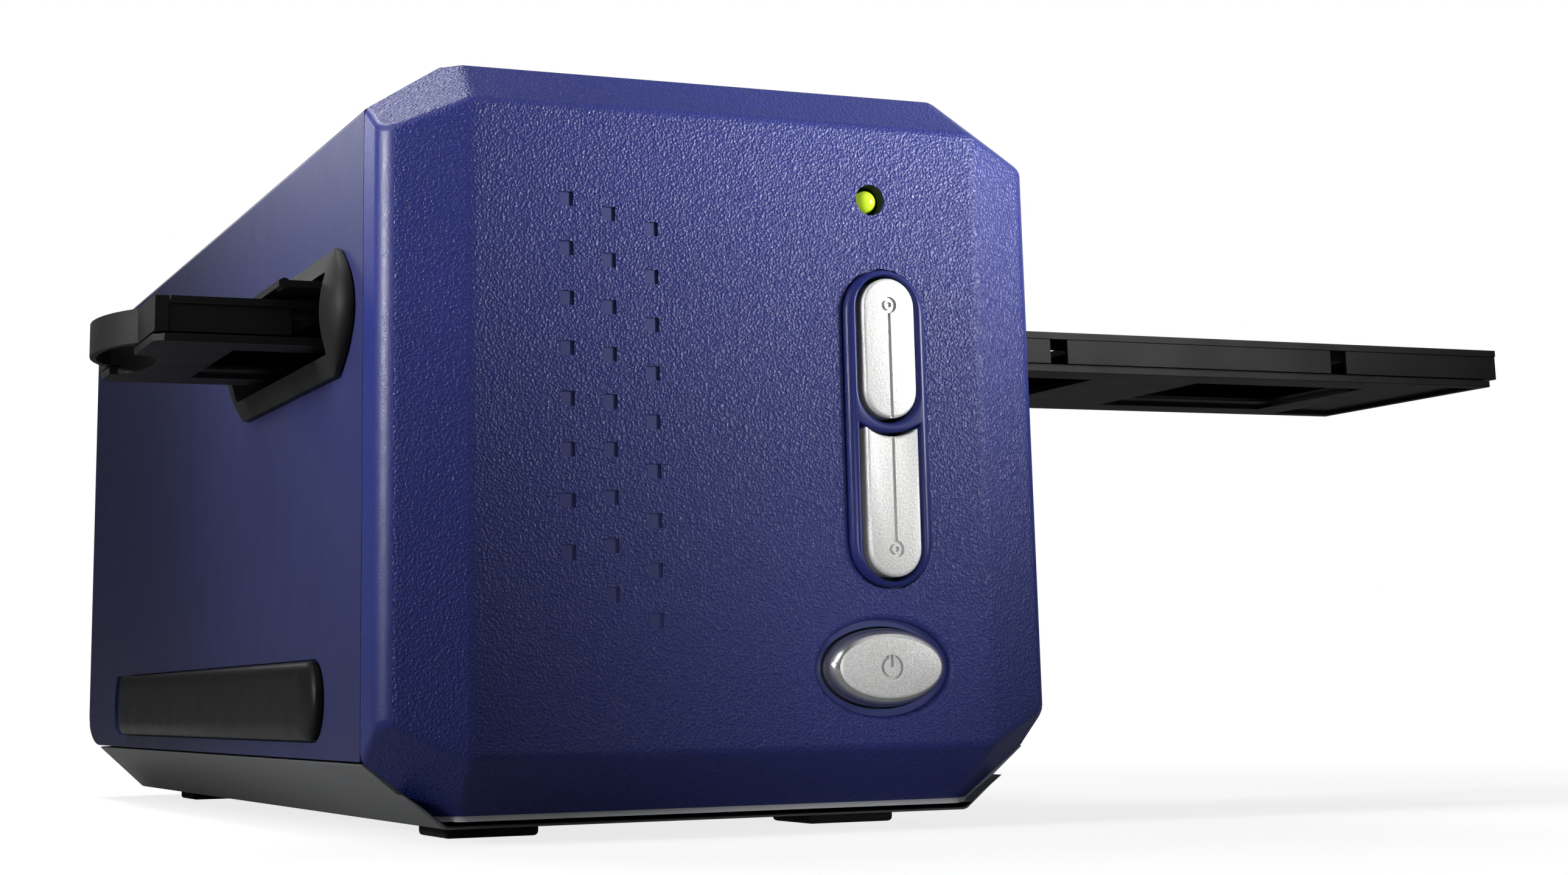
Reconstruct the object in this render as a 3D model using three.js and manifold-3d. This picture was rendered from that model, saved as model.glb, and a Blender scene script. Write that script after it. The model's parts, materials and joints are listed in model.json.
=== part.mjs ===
// Desktop film scanner with a long film holder, built as separate pieces.
// Millimetres, +Z up, front towards -Y. The origin is the middle of the base tray's underside.
import * as THREE from 'three';
import { ConvexGeometry } from 'three/addons/geometries/ConvexGeometry.js';
import { mergeVertices } from 'three/addons/utils/BufferGeometryUtils.js';
import Module from 'manifold-3d';

const wasm = await Module();
wasm.setup();

// Clearances and cutting
const fitGap = 0.3;
const runningGap = 0.08;
const overrun = 1;
const weldDistance = 0.0001;

// Whole body
const bodyWidth = 110.4;
const roofRoom = 31;
const rearRoom = 30.5;
const cornerRun = 12.1;
const topCornerDrop = 7.7;
const lowCornerRise = 10;
const shellWall = 2.2;

// Front bezel
const bezelPostRadius = 2.6;
const bezelDepth = 13.6;
const bezelSideStrip = 8.7;
const bezelEndStrip = 2.6;
const faceSideInset = 12.8;
const faceTopInset = 7.9;
const faceBottomInset = 9.1;
const bezelWall = 2.4;
const frontLipHeight = 1.1;

// Square dimples in the bezel, in three columns
const dimpleSize = 2.2;
const dimpleDepth = 0.8;
const dimpleColumns = [
  { count: 8, x: -27.4, topDrop: 22.6, pitch: 7.6 },
  { count: 9, x: -20.6, topDrop: 24.6, pitch: 7.18 },
  { count: 9, x: -13.7, topDrop: 26.6, pitch: 7.41 },
];

// Scan buttons and their surround
const buttonX = 25.4;
const surroundWidth = 14;
const surroundLength = 50;
const surroundMiddleShare = 0.5138;
const surroundProud = 1.5;
const surroundSeat = 1.4;
const scanButtonWidth = 9;
const scanButtonProud = 2.3;
const scanButtonMargin = 1.6;
const upperButtonLength = 22.2;
const scanButtonSpace = 1.4;
const lowerButtonDip = 1.4;
const buttonFlangeWidth = 1.2;
const buttonFlangeThick = 1;
const buttonTravel = 0.8;
const engravingWidth = 0.5;
const engravingDepth = 0.4;
const ringMarkRadius = 1.3;
const ringMarkInset = 4.3;

// Power button
const powerX = 23.8;
const powerMiddleShare = 0.193;
const powerWidth = 20;
const powerHeight = 12;
const powerProud = 2.6;
const powerRimWidth = 1.4;
const powerRecessDepth = 0.8;
const powerMarkRadius = 1.9;
const powerSkirtShare = 1 / 3;
const powerShoulderShare = 2 / 3;

// Status light
const lightX = 23.8;
const lightMiddleShare = 0.828;
const lightRadius = 1.75;
const lightHoleRadius = 2.5;
const lightLength = 13;

// Board behind the bezel
const boardThick = 1.6;
const buttonBoardY = 14.6;
const buttonBoardWidth = 28;
const buttonBoardMargin = 9.5;
const switchSize = 6;
const switchHeight = 3.2;
const plungerRadius = 1.75;
const plungerHeight = 1;
const stemRadius = 2;

// Slots in the housing's sides
const slotSideRoom = 6.8;
const slotRoomBelow = 2.3;
const slotRoomAbove = 3.6;
const neckWall = 1;
const neckDepth = 8;
const frameProud = 3.8;
const frameEdgeThick = 0.8;
const frameLowBand = 3.2;
const frameHighBand = 3.9;
const frameFrontBand = 8;
const frameRearBand = 10;
const frameEndBulge = 8.6;
const frameCrestInset = 1;

// Film holder
const holderWidth = 52.4;
const holderFrontY = 33;
const holderLowZ = 73.9;
const holderHeight = 7.1;
const holderLeftX = -83;
const holderRightX = 173.3;
const holderPlateThick = 1.2;
const holderPlateShort = 1.8;
const holderCoverThick = 1.2;
const holderWallInset = 0.2;
const holderGrooveHeight = 0.6;
const holderGrooveDepth = 0.8;
const holderCornerCut = 1.6;
const endBlockLength = 2.5;
const endPocketWall = 1.5;
const fingerEndMiddle = 30;
const fingerEndLength = 30.8;
const fingerEndReach = 4.9;
const fingerRingWall = 1.2;
const fingerSlotWidth = 9;
const fingerSlotLength = 24.4;
const framePitch = 60;
const frameCount = 4;
const firstFrameStep = -1;
const opticalX = 9.8;
const filmWidth = 36;
const filmHeight = 24;
const bayLength = 50.4;
const baySideWall = 1;
const openingWidth = 37.4;
const openingHeight = 35;
const windowMargin = 1;
const gripNotchWidth = 3.4;
const gripNotchOffset = 7;
const gripNotchDepth = 2.4;
const loadingNotchX = -61.5;
const loadingNotchWidth = 9;

// Dust doors that hang in the slots and lie over the holder while it is in
const doorThick = 1.1;
const doorReach = 13;
const doorAxisInset = 3.2;
const doorSideGap = 1.2;
const doorBarrelRadius = 1.4;
const doorPinRadius = 0.75;
const doorRibLength = 3;
const doorRibWidth = 1.2;
const doorRibCount = 3;
const doorLugRadius = 0.9;
const doorLugLength = 3;
const springSpace = 6.5;
const springWireRadius = 0.2;
const springCoilRadius = 1.1;
const springTurns = 6;

// Side pads
const padFrontY = 42;
const padRearRoom = 23;
const padLowZ = 12.8;
const padHighZ = 25.1;
const padFrontBulge = 7;
const padRearBulge = 16;
const padThick = 2.4;
const padRecess = 0.7;

// Base tray
const baseWall = 2.2;
const baseRearInset = 5.5;
const rearCornerRun = 16.5;
const rearCornerRise = 7;
const footLength = 15.2;
const footWidth = 15.2;
const footX = 30.6;
const footFrontY = 27.6;
const footRearGap = 22;
const footHeight = 2.2;
const footSeat = 0.8;

// Rear panel with the sockets
const rearPanelWidth = 78;
const rearPanelTopZ = 42;
const rearPanelThick = 2.4;
const rearPanelProud = 0.9;
const jackInset = 14;
const jackRadius = 3.1;
const jackBodyWidth = 9;
const jackBodyHeight = 11;
const jackBodyDepth = 13;
const jackWall = 1;
const jackProud = 0.5;
const jackPinSetback = 2;
const jackPinRadius = 1;
const jackPinLength = 8;
const usbInset = 26;
const usbWidth = 12;
const usbHeight = 10.9;
const usbDepth = 16;
const usbWall = 0.8;
const usbTongueThick = 3;
const usbTongueWidth = 5;
const ventCount = 9;
const ventWidth = 2;
const ventHeight = 12;
const ventPitch = 6;
const ventLowZ = 25;

// Main board
const mainBoardLowZ = 8.6;
const mainBoardWidth = 76;
const mainBoardFrontY = 110;
const mainBoardRearGap = 1.2;
const standoffRadius = 3;
const standoffInset = 5;
const standoffRearInset = 20;
const chipSize = 18;
const chipHeight = 1.8;
const capacitorRadius = 4;
const chipPitchShare = 0.24;
const chipCount = 3;
const capacitorHeight = 9;
const capacitorPitch = 12;
const capacitorCount = 3;

// Chassis
const chassisThick = 1.5;
const chassisFloorZ = 20;
const chassisNeckGap = 0.2;
const chassisFrontY = 24;
const chassisPostRadius = 4;
const chassisPostX = 15;
const screwRadius = 1.5;
const screwHeadRadius = 2.8;
const screwHeadHeight = 1.6;
const chassisFrontTopZ = 41;
const rearWallTopZ = 66;

// Film stage and the mask over it
const stageThick = 1.7;
const stageGap = 0.4;
const railWidth = 6;
const maskDoorGap = 3;
const maskThick = 1.4;
const stageWindowMargin = 3;
const detentRadius = 1.6;
const detentLength = 26;
const detentThick = 0.4;
const detentRise = 1.4;
const detentFootLength = 5.2;

// Scan drive
const scanTravel = 30;
const rodRadius = 3;
const rodInset = 9;
const rodZ = 32;
const rodEnd = 3;
const bushLength = 10;
const bushWall = 1.6;
const screwShaftRadius = 3;
const screwRodSpace = 16;
const screwCoreShare = 0.8;
const threadPitch = 6;
const nutLength = 12;
const nutWall = 3;
const motorRadius = 12.5;
const motorLength = 15;
const nutRadius = 4.5;
const frontBushRadius = 5;
const frontBushLength = 4;

// Scan carriage
const carriageSideRoom = 3;
const carriageRearRoom = 3.8;
const carriageFloorZ = 38;
const carriageFloorThick = 3;
const carriageFrontGap = 8;
const carriageRearGap = 18;
const bearingBlockHeight = 6;
const bearingBlockWidth = 13;
const bearingBlockLength = 14;
const postFrontGap = 1.2;
const postThick = 5;
const postSideGap = 7.4;
const armThick = 4;
const armHalfWidth = 26;
const armGap = 8;
const mirrorWidth = 46;
const mirrorHeight = 20;
const mirrorThick = 2;
const opticsZ = 54;
const lensRadius = 9;
const lensLength = 26;
const lensBore = 6.5;
const lensGlassThick = 3;
const lensDistance = 62;
const sensorDistance = 142;
const sensorBoardWidth = 64;
const sensorBoardHeight = 28;
const sensorLength = 50;
const sensorHeight = 8;
const sensorThick = 3;
const lampWidth = 46;
const lampDepth = 9;
const lampHeight = 3;
const diffuserThick = 1.4;

// Facets
const arcSteps = 10;
const smallRoundSteps = 12;
const roundSteps = 24;

// Places that several pieces share
const half = bodyWidth / 2;
const seamY = bezelDepth + fitGap;
const housingLowZ = lowCornerRise;
const holderRearY = holderFrontY + holderWidth;
const holderHighZ = holderLowZ + holderHeight;
const slotFrontY = holderFrontY - slotSideRoom;
const slotRearY = holderRearY + slotSideRoom;
const slotLowZ = holderLowZ - slotRoomBelow;
const slotHighZ = holderHighZ + slotRoomAbove;
const bodyHeight = slotHighZ + roofRoom;
const opticalY = holderFrontY + holderWidth / 2;
const scanHomeY = opticalY - scanTravel / 2;
const deckFrontY = scanHomeY - carriageFrontGap;
const deckRearY = scanHomeY + sensorDistance + carriageRearGap;
const deckTopZ = carriageFloorZ + carriageFloorThick;
const chassisRearY = deckRearY + scanTravel + carriageRearRoom;
const bodyDepth = chassisRearY + rearRoom;
const baseRearY = bodyDepth - baseRearInset;
const baseSideRearY = bodyDepth - rearCornerRun;
const padRearY = baseSideRearY - padRearRoom;
const chassisHalfWidth = half - neckDepth - chassisNeckGap;
const carriageHalfWidth = chassisHalfWidth - carriageSideRoom;
const rodX = chassisHalfWidth - rodInset;
const screwShaftX = screwRodSpace - rodX;
const jackX = jackInset - mainBoardWidth / 2;
const usbX = mainBoardWidth / 2 - usbInset;
const stageHalfLength = half - neckDepth - stageGap;
const postHalfWidth = half - neckDepth - opticalX - postSideGap;
const doorAxisX = half - doorAxisInset;
const maskHalfLength = doorAxisX - doorReach - maskDoorGap;
const doorAxisZ = holderHighZ + fitGap + doorBarrelRadius;
const surroundLowZ = surroundMiddleShare * bodyHeight - surroundLength / 2;
const surroundHighZ = surroundLowZ + surroundLength;
const upperButtonHighZ = surroundHighZ - scanButtonMargin;
const upperButtonLowZ = upperButtonHighZ - upperButtonLength;
const lowerButtonHighZ = upperButtonLowZ - scanButtonSpace;
const lowerButtonLowZ = surroundLowZ + scanButtonMargin;
const powerZ = powerMiddleShare * bodyHeight;
const lightZ = lightMiddleShare * bodyHeight;
const stageTopZ = holderLowZ - stageGap;
const boardRearY = bodyDepth - shellWall - mainBoardRearGap;
const plateTopZ = holderLowZ + holderPlateThick;
const wallLowZ = plateTopZ + holderGrooveHeight;
const coverLowZ = holderHighZ - holderCoverThick;
const baseFrontY = bezelDepth - bezelEndStrip;
const flangeY = bezelWall + fitGap + buttonTravel / 2;
const boardFaceY = buttonBoardY - boardThick / 2;
const plungerTipY = boardFaceY - switchHeight - plungerHeight;
const stemTipY = plungerTipY - buttonTravel - fitGap;
const boardLeftX = buttonX - buttonBoardWidth / 2;
const boardRightX = buttonX + buttonBoardWidth / 2;
const boardLowZ = powerZ - buttonBoardMargin;
const boardHighZ = lightZ + buttonBoardMargin;
const boardCorners = [boardLeftX + bezelPostRadius, boardRightX - bezelPostRadius].flatMap((x) => (
  [boardLowZ + bezelPostRadius, boardHighZ - bezelPostRadius].map((z) => [x, z])
));
const coverLeftX = holderLeftX + endBlockLength;
const nutY = (deckFrontY + deckRearY) / 2;

// Finishes
function finish(color, roughness, metalness = 0) {
  return new THREE.MeshStandardMaterial({ color, roughness, metalness });
}

const bluePaint = finish(0x2c2f78, 0.5);
const glossyBlue = finish(0x262b78, 0.22);
const silverPaint = finish(0x868a90, 0.45);
const blackPlastic = finish(0x141416, 0.5);
const blackRubber = finish(0x101012, 0.7);
const satinSilver = finish(0xc9cac6, 0.35, 0.5);
const greenLens = finish(0xb9e02a, 0.2);
const boardGreen = finish(0x1d5a38, 0.6);
const steel = finish(0x9da0a4, 0.3, 0.9);
const brass = finish(0xb49a55, 0.35, 0.9);
const clearGlass = finish(0xcfdde2, 0.05);
const lampWhite = finish(0xf4f4ee, 0.5);

// Solids
function toSolid(geometry) {
  geometry.deleteAttribute('normal');
  geometry.deleteAttribute('uv');
  const merged = mergeVertices(geometry, weldDistance);
  return new wasm.Manifold(new wasm.Mesh({
    numProp: 3,
    vertProperties: new Float32Array(merged.attributes.position.array),
    triVerts: new Uint32Array(merged.index.array),
  }));
}

function toGeometry(solid) {
  const mesh = solid.getMesh();
  const geometry = new THREE.BufferGeometry();
  geometry.setAttribute('position', new THREE.BufferAttribute(mesh.vertProperties, 3));
  geometry.setIndex(new THREE.BufferAttribute(mesh.triVerts, 1));
  geometry.computeVertexNormals();
  return geometry;
}

function join(first, ...others) {
  return others.reduce((sum, other) => sum.add(other), first);
}

function cut(first, ...others) {
  return others.reduce((rest, other) => rest.subtract(other), first);
}

// An outline along 'x' is drawn in y and z, along 'y' in x and z, and along 'z' in x and y.
const outlineBases = {
  x: [new THREE.Vector3(0, 1, 0), new THREE.Vector3(0, 0, 1), new THREE.Vector3(1, 0, 0)],
  y: [new THREE.Vector3(1, 0, 0), new THREE.Vector3(0, 0, 1), new THREE.Vector3(0, -1, 0)],
  z: [new THREE.Vector3(1, 0, 0), new THREE.Vector3(0, 1, 0), new THREE.Vector3(0, 0, 1)],
};

function prism(axis, points, from, to) {
  const shape = new THREE.Shape(points.map(([a, b]) => new THREE.Vector2(a, b)));
  const low = Math.min(from, to);
  const high = Math.max(from, to);
  const geometry = new THREE.ExtrudeGeometry(shape, { depth: high - low, bevelEnabled: false });
  geometry.applyMatrix4(new THREE.Matrix4().makeBasis(...outlineBases[axis]));
  const shift = axis === 'y' ? high : low;
  geometry.translate(axis === 'x' ? shift : 0, axis === 'y' ? shift : 0, axis === 'z' ? shift : 0);
  return toSolid(geometry);
}

function rectangle(a0, a1, b0, b1) {
  return [[a0, b0], [a1, b0], [a1, b1], [a0, b1]];
}

function block(x0, x1, y0, y1, z0, z1) {
  return prism('z', rectangle(Math.min(x0, x1), Math.max(x0, x1), y0, y1), z0, z1);
}

function ellipse(a, b, radiusA, radiusB, steps = roundSteps) {
  return Array.from({ length: steps }, (_, i) => {
    const angle = (2 * Math.PI * (i + 1 / 2)) / steps;
    return [a + radiusA * Math.cos(angle), b + radiusB * Math.sin(angle)];
  });
}

function circle(a, b, radius, steps = roundSteps) {
  return ellipse(a, b, radius, radius, steps);
}

function rod(axis, a, b, radius, from, to, steps = roundSteps) {
  return prism(axis, circle(a, b, radius, steps), from, to);
}

// Upright outline with round ends
function stadium(a, low, high, width) {
  const radius = width / 2;
  const points = [];
  for (let i = 0; i <= arcSteps; i += 1) {
    const angle = (Math.PI * i) / arcSteps;
    points.push([a + radius * Math.cos(angle), high - radius + radius * Math.sin(angle)]);
  }
  for (let i = 0; i <= arcSteps; i += 1) {
    const angle = Math.PI + (Math.PI * i) / arcSteps;
    points.push([a + radius * Math.cos(angle), low + radius + radius * Math.sin(angle)]);
  }
  return points;
}

// Points of a flat arc from one point to another, bulging to the right of the way it runs
function bulgedLine([a0, b0], [a1, b1], bulge) {
  const chord = Math.hypot(a1 - a0, b1 - b0);
  const along = [(a1 - a0) / chord, (b1 - b0) / chord];
  const radius = (chord * chord / 4 + bulge * bulge) / (2 * bulge);
  const spread = Math.asin(chord / (2 * radius));
  return Array.from({ length: arcSteps + 1 }, (_, i) => {
    const angle = spread * (2 * i / arcSteps - 1);
    const run = chord / 2 + radius * Math.sin(angle);
    const out = radius * (Math.cos(angle) - Math.cos(spread));
    return [a0 + along[0] * run + along[1] * out, b0 + along[1] * run - along[0] * out];
  });
}

// Outline with straight long sides and bulged ends
function barrel(a0, a1, b0, b1, bulge0, bulge1) {
  return [
    ...bulgedLine([a1, b0], [a1, b1], bulge1),
    ...bulgedLine([a0, b1], [a0, b0], bulge0),
  ];
}

function hull(points) {
  return toSolid(new ConvexGeometry(points.map((point) => new THREE.Vector3(...point))));
}

const scanner = new THREE.Group();
scanner.position.set(0, -(baseFrontY + baseRearY) / 2, 0);

function place(name, solid, material) {
  const mesh = new THREE.Mesh(toGeometry(solid), material);
  mesh.name = name;
  scanner.add(mesh);
  return mesh;
}

// Front bezel: flat face, four sloped sides and four corner facets round it.
// Each corner facet passes through the face's corner and the two ends of the seam's corner.
function bezelForm(inset, lengthen) {
  const x = half - inset;
  const top = bodyHeight - inset;
  const bottom = frontLipHeight + inset;
  const back = bezelDepth + lengthen;
  const points = [];
  const corners = [
    { z: top, faceZ: bodyHeight - faceTopInset, sideZ: bodyHeight - topCornerDrop, way: -1 },
    { z: bottom, faceZ: frontLipHeight + faceBottomInset, sideZ: lowCornerRise + runningGap, way: 1 },
  ];
  for (const { z, faceZ, sideZ } of corners) {
    for (const side of [-1, 1]) {
      const face = new THREE.Vector3(side * (half - faceSideInset), inset, faceZ);
      const seamSide = new THREE.Vector3(side * x, bezelDepth, sideZ);
      const seamEnd = new THREE.Vector3(side * (half - cornerRun), bezelDepth, z);
      const facet = new THREE.Plane().setFromCoplanarPoints(face, seamSide, seamEnd);
      const stripY = bezelDepth - bezelSideStrip + inset / 2;
      const endY = bezelDepth - bezelEndStrip;
      const { normal, constant } = facet;
      const stripZ = -(constant + normal.x * side * x + normal.y * stripY) / normal.z;
      const endX = -(constant + normal.y * endY + normal.z * z) / normal.x;
      points.push(face.toArray(), seamSide.toArray(), seamEnd.toArray());
      points.push([side * x, stripY, stripZ], [endX, endY, z]);
      points.push([side * x, back, sideZ], [side * (half - cornerRun), back, z]);
    }
  }
  return hull(points);
}

function scanButtonOutline(upper, grow) {
  const width = scanButtonWidth + 2 * grow;
  if (upper) {
    return stadium(buttonX, upperButtonLowZ - grow, upperButtonHighZ + grow, width);
  }
  const round = stadium(buttonX, lowerButtonLowZ - grow, lowerButtonHighZ, width);
  const lowEnd = round.slice(arcSteps + 1);
  const left = [buttonX - width / 2, lowerButtonHighZ + grow];
  const right = [buttonX + width / 2, lowerButtonHighZ + grow];
  return [...lowEnd, ...bulgedLine(right, left, -lowerButtonDip)];
}

function makeBezel() {
  const shell = cut(
    bezelForm(0, 0),
    bezelForm(bezelWall, overrun),
  );
  const dimples = dimpleColumns.flatMap(({ count, x, topDrop, pitch }) => (
    Array.from({ length: count }, (_, i) => block(
      x - dimpleSize / 2, x + dimpleSize / 2, -overrun, dimpleDepth,
      bodyHeight - topDrop - i * pitch - dimpleSize / 2, bodyHeight - topDrop - i * pitch + dimpleSize / 2,
    ))
  ));
  const surroundHole = prism(
    'y', stadium(buttonX, surroundLowZ - fitGap, surroundHighZ + fitGap, surroundWidth + 2 * fitGap),
    -overrun, surroundSeat,
  );
  const innerHole = prism(
    'y', stadium(buttonX, surroundLowZ + fitGap, surroundHighZ - fitGap, surroundWidth - 2 * fitGap),
    -overrun, bezelWall + overrun,
  );
  const lightHole = rod('y', lightX, lightZ, lightHoleRadius, -overrun, bezelWall + overrun);
  const powerRim = prism(
    'y', ellipse(powerX, powerZ, powerWidth / 2 + powerRimWidth, powerHeight / 2 + powerRimWidth, 2 * roundSteps),
    -overrun, powerRecessDepth,
  );
  const powerHole = prism(
    'y', ellipse(powerX, powerZ, powerWidth / 2 + fitGap, powerHeight / 2 + fitGap, 2 * roundSteps),
    -overrun, bezelWall + overrun,
  );
  const posts = boardCorners.map(([x, z]) => (
    rod('y', x, z, bezelPostRadius, bezelWall / 2, boardFaceY - fitGap, smallRoundSteps)
  ));
  return cut(join(shell, ...posts), ...dimples, surroundHole, innerHole, lightHole, powerRim, powerHole);
}

place('front_bezel', makeBezel(), bluePaint);

// Surround: a raised ring seated in the bezel, with a bar between the two scan buttons
function makeSurround() {
  const rim = prism(
    'y', stadium(buttonX, surroundLowZ, surroundHighZ, surroundWidth), -surroundProud, surroundSeat - fitGap,
  );
  const seat = 2 * fitGap;
  const plug = prism(
    'y', stadium(buttonX, surroundLowZ + seat, surroundHighZ - seat, surroundWidth - 2 * seat),
    0, bezelWall,
  );
  const holes = [true, false].map((upper) => (
    prism('y', scanButtonOutline(upper, fitGap), -surroundProud - overrun, bezelWall + overrun)
  ));
  return cut(join(rim, plug), ...holes);
}

place('button_surround', makeSurround(), glossyBlue);

// Scan buttons: a cap with an engraved line and ring, a flange behind the bezel, and a stem
function makeScanButton(upper) {
  const lowZ = upper ? upperButtonLowZ : lowerButtonLowZ;
  const highZ = upper ? upperButtonHighZ : lowerButtonHighZ;
  const middleZ = (lowZ + highZ) / 2;
  const markZ = upper ? highZ - ringMarkInset : lowZ + ringMarkInset;
  const cap = prism('y', scanButtonOutline(upper, 0), -scanButtonProud, flangeY + buttonFlangeThick / 2);
  const flange = block(
    buttonX - scanButtonWidth / 2 + fitGap, buttonX + scanButtonWidth / 2 - fitGap,
    flangeY, flangeY + buttonFlangeThick, lowZ + buttonFlangeWidth, highZ - 2 * buttonFlangeWidth,
  );
  const stem = rod('y', buttonX, middleZ, stemRadius, flangeY, stemTipY, smallRoundSteps);
  const engravedY = engravingDepth - scanButtonProud;
  const line = block(
    buttonX - engravingWidth / 2, buttonX + engravingWidth / 2, -scanButtonProud - overrun, engravedY,
    upper ? lowZ - overrun : markZ + ringMarkRadius, upper ? markZ - ringMarkRadius : highZ + overrun,
  );
  const ring = cut(
    rod('y', buttonX, markZ, ringMarkRadius, -scanButtonProud - overrun, engravedY),
    rod('y', buttonX, markZ, ringMarkRadius - engravingWidth, -scanButtonProud - 2 * overrun, engravedY + overrun),
  );
  return cut(join(cap, flange, stem), line, ring);
}

place('upper_scan_button', makeScanButton(true), satinSilver);
place('lower_scan_button', makeScanButton(false), satinSilver);

// Power button: a low oval dome with the power sign cut into it
function makePowerButton() {
  const oval = (shrink, y) => (
    ellipse(powerX, powerZ, powerWidth / 2 - shrink, powerHeight / 2 - shrink, 2 * roundSteps)
      .map(([x, z]) => [x, y, z])
  );
  const dome = hull([
    ...oval(0, flangeY + buttonFlangeThick),
    ...oval(0, -powerProud * powerSkirtShare),
    ...oval(powerProud * powerSkirtShare, -powerProud * powerShoulderShare),
    ...oval(powerProud, -powerProud),
  ]);
  const stem = rod('y', powerX, powerZ, stemRadius, flangeY, stemTipY, smallRoundSteps);
  const faceY = engravingDepth - powerProud;
  const innerRadius = powerMarkRadius - engravingWidth;
  const ring = cut(
    rod('y', powerX, powerZ, powerMarkRadius, -powerProud - overrun, faceY),
    rod('y', powerX, powerZ, innerRadius, -powerProud - 2 * overrun, faceY + overrun),
    block(
      powerX - engravingWidth, powerX + engravingWidth,
      -powerProud - 2 * overrun, faceY + overrun, powerZ, powerZ + powerMarkRadius + overrun,
    ),
  );
  const stroke = block(
    powerX - engravingWidth / 2, powerX + engravingWidth / 2,
    -powerProud - overrun, faceY, powerZ, powerZ + powerMarkRadius,
  );
  return cut(join(dome, stem), ring, stroke);
}

place('power_button', makePowerButton(), satinSilver);

// Status light: a round lens on a short body that stands on the button board
function makeStatusLight() {
  const profile = [new THREE.Vector2(0, 0), new THREE.Vector2(lightRadius, 0)];
  const rise = lightLength - lightRadius / 2;
  for (let i = 0; i <= arcSteps; i += 1) {
    const angle = (Math.PI / 2) * (i / arcSteps);
    const radius = i === arcSteps ? 0 : lightRadius * Math.cos(angle);
    profile.push(new THREE.Vector2(radius, rise + (lightRadius / 2) * Math.sin(angle)));
  }
  const geometry = new THREE.LatheGeometry(profile, smallRoundSteps);
  geometry.rotateX(Math.PI);
  geometry.translate(lightX, boardFaceY - fitGap, lightZ);
  return toSolid(geometry);
}

place('status_light', makeStatusLight(), greenLens);

// Button board with a switch behind each button
const switchPlaces = {
  upper_button_switch: [buttonX, (upperButtonLowZ + upperButtonHighZ) / 2],
  lower_button_switch: [buttonX, (lowerButtonLowZ + lowerButtonHighZ) / 2],
  power_switch: [powerX, powerZ],
};

place('button_board', block(
  boardLeftX, boardRightX, boardFaceY, boardFaceY + boardThick, boardLowZ, boardHighZ,
), boardGreen);

for (const [name, [x, z]] of Object.entries(switchPlaces)) {
  const back = boardFaceY - fitGap;
  const face = boardFaceY - switchHeight;
  const body = block(x - switchSize / 2, x + switchSize / 2, face, back, z - switchSize / 2, z + switchSize / 2);
  const plunger = rod('y', x, z, plungerRadius, plungerTipY, back - fitGap, smallRoundSteps);
  place(name, join(body, plunger), blackPlastic);
}

// Housing: a sleeve with chamfered top corners and a rear wall, cut for slots and rear panel
function housingOutline(inset, lowZ) {
  const x = half - inset;
  const top = bodyHeight - inset;
  const side = bodyHeight - topCornerDrop - inset / 2;
  const end = half - cornerRun - inset / 2;
  return [[-x, lowZ], [x, lowZ], [x, side], [end, top], [-end, top], [-x, side]];
}

function padOutline(grow) {
  return barrel(
    padFrontY - grow, padRearY + grow, padLowZ - grow, padHighZ + grow, padFrontBulge, padRearBulge,
  );
}

function rearCornerForm(inset) {
  const startY = baseSideRearY - inset;
  const startZ = housingLowZ + inset;
  const points = [[startY, startZ]];
  const run = bodyDepth - baseSideRearY;
  for (let i = 1; i <= arcSteps; i += 1) {
    const angle = (Math.PI / 2) * (i / arcSteps);
    points.push([startY + run * Math.sin(angle), startZ + rearCornerRise * (1 - Math.cos(angle))]);
  }
  points.push([bodyDepth + overrun, startZ + rearCornerRise]);
  points.push([bodyDepth + overrun, housingLowZ - overrun]);
  points.push([startY, housingLowZ - overrun]);
  return prism('x', points, -half - overrun, half + overrun);
}

function makeHousing() {
  const hollow = cut(
    prism('y', housingOutline(shellWall, housingLowZ - overrun), seamY - overrun, bodyDepth - shellWall),
    rearCornerForm(shellWall),
  );
  const sleeve = cut(
    prism('y', housingOutline(0, housingLowZ), seamY, bodyDepth), hollow, rearCornerForm(0),
  );
  const panelHole = block(
    -rearPanelWidth / 2 - fitGap, rearPanelWidth / 2 + fitGap,
    baseSideRearY - shellWall - overrun, bodyDepth + overrun,
    housingLowZ - overrun, rearPanelTopZ + fitGap,
  );
  const slots = [-1, 1].map((side) => block(
    side * (half - shellWall - overrun), side * (half + overrun),
    slotFrontY - neckWall - fitGap, slotRearY + neckWall + fitGap,
    slotLowZ - neckWall - fitGap, slotHighZ + neckWall + fitGap,
  ));
  const pads = [-1, 1].map((side) => (
    prism('x', padOutline(fitGap), side * (half - padRecess), side * (half + overrun))
  ));
  return cut(sleeve, panelHole, ...slots, ...pads);
}

place('housing', makeHousing(), bluePaint);

// Slot frames: a collar that swells from a thin edge to a crown along the opening's middle,
// and a neck that carries the dust door's pin
const frameLowZ = slotLowZ - frameLowBand;
const frameHighZ = slotHighZ + frameHighBand;
const frameFrontY = slotFrontY - frameFrontBand + frameEndBulge;
const frameRearY = slotRearY + frameRearBand - frameEndBulge;
const crownSteps = 4;

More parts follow.
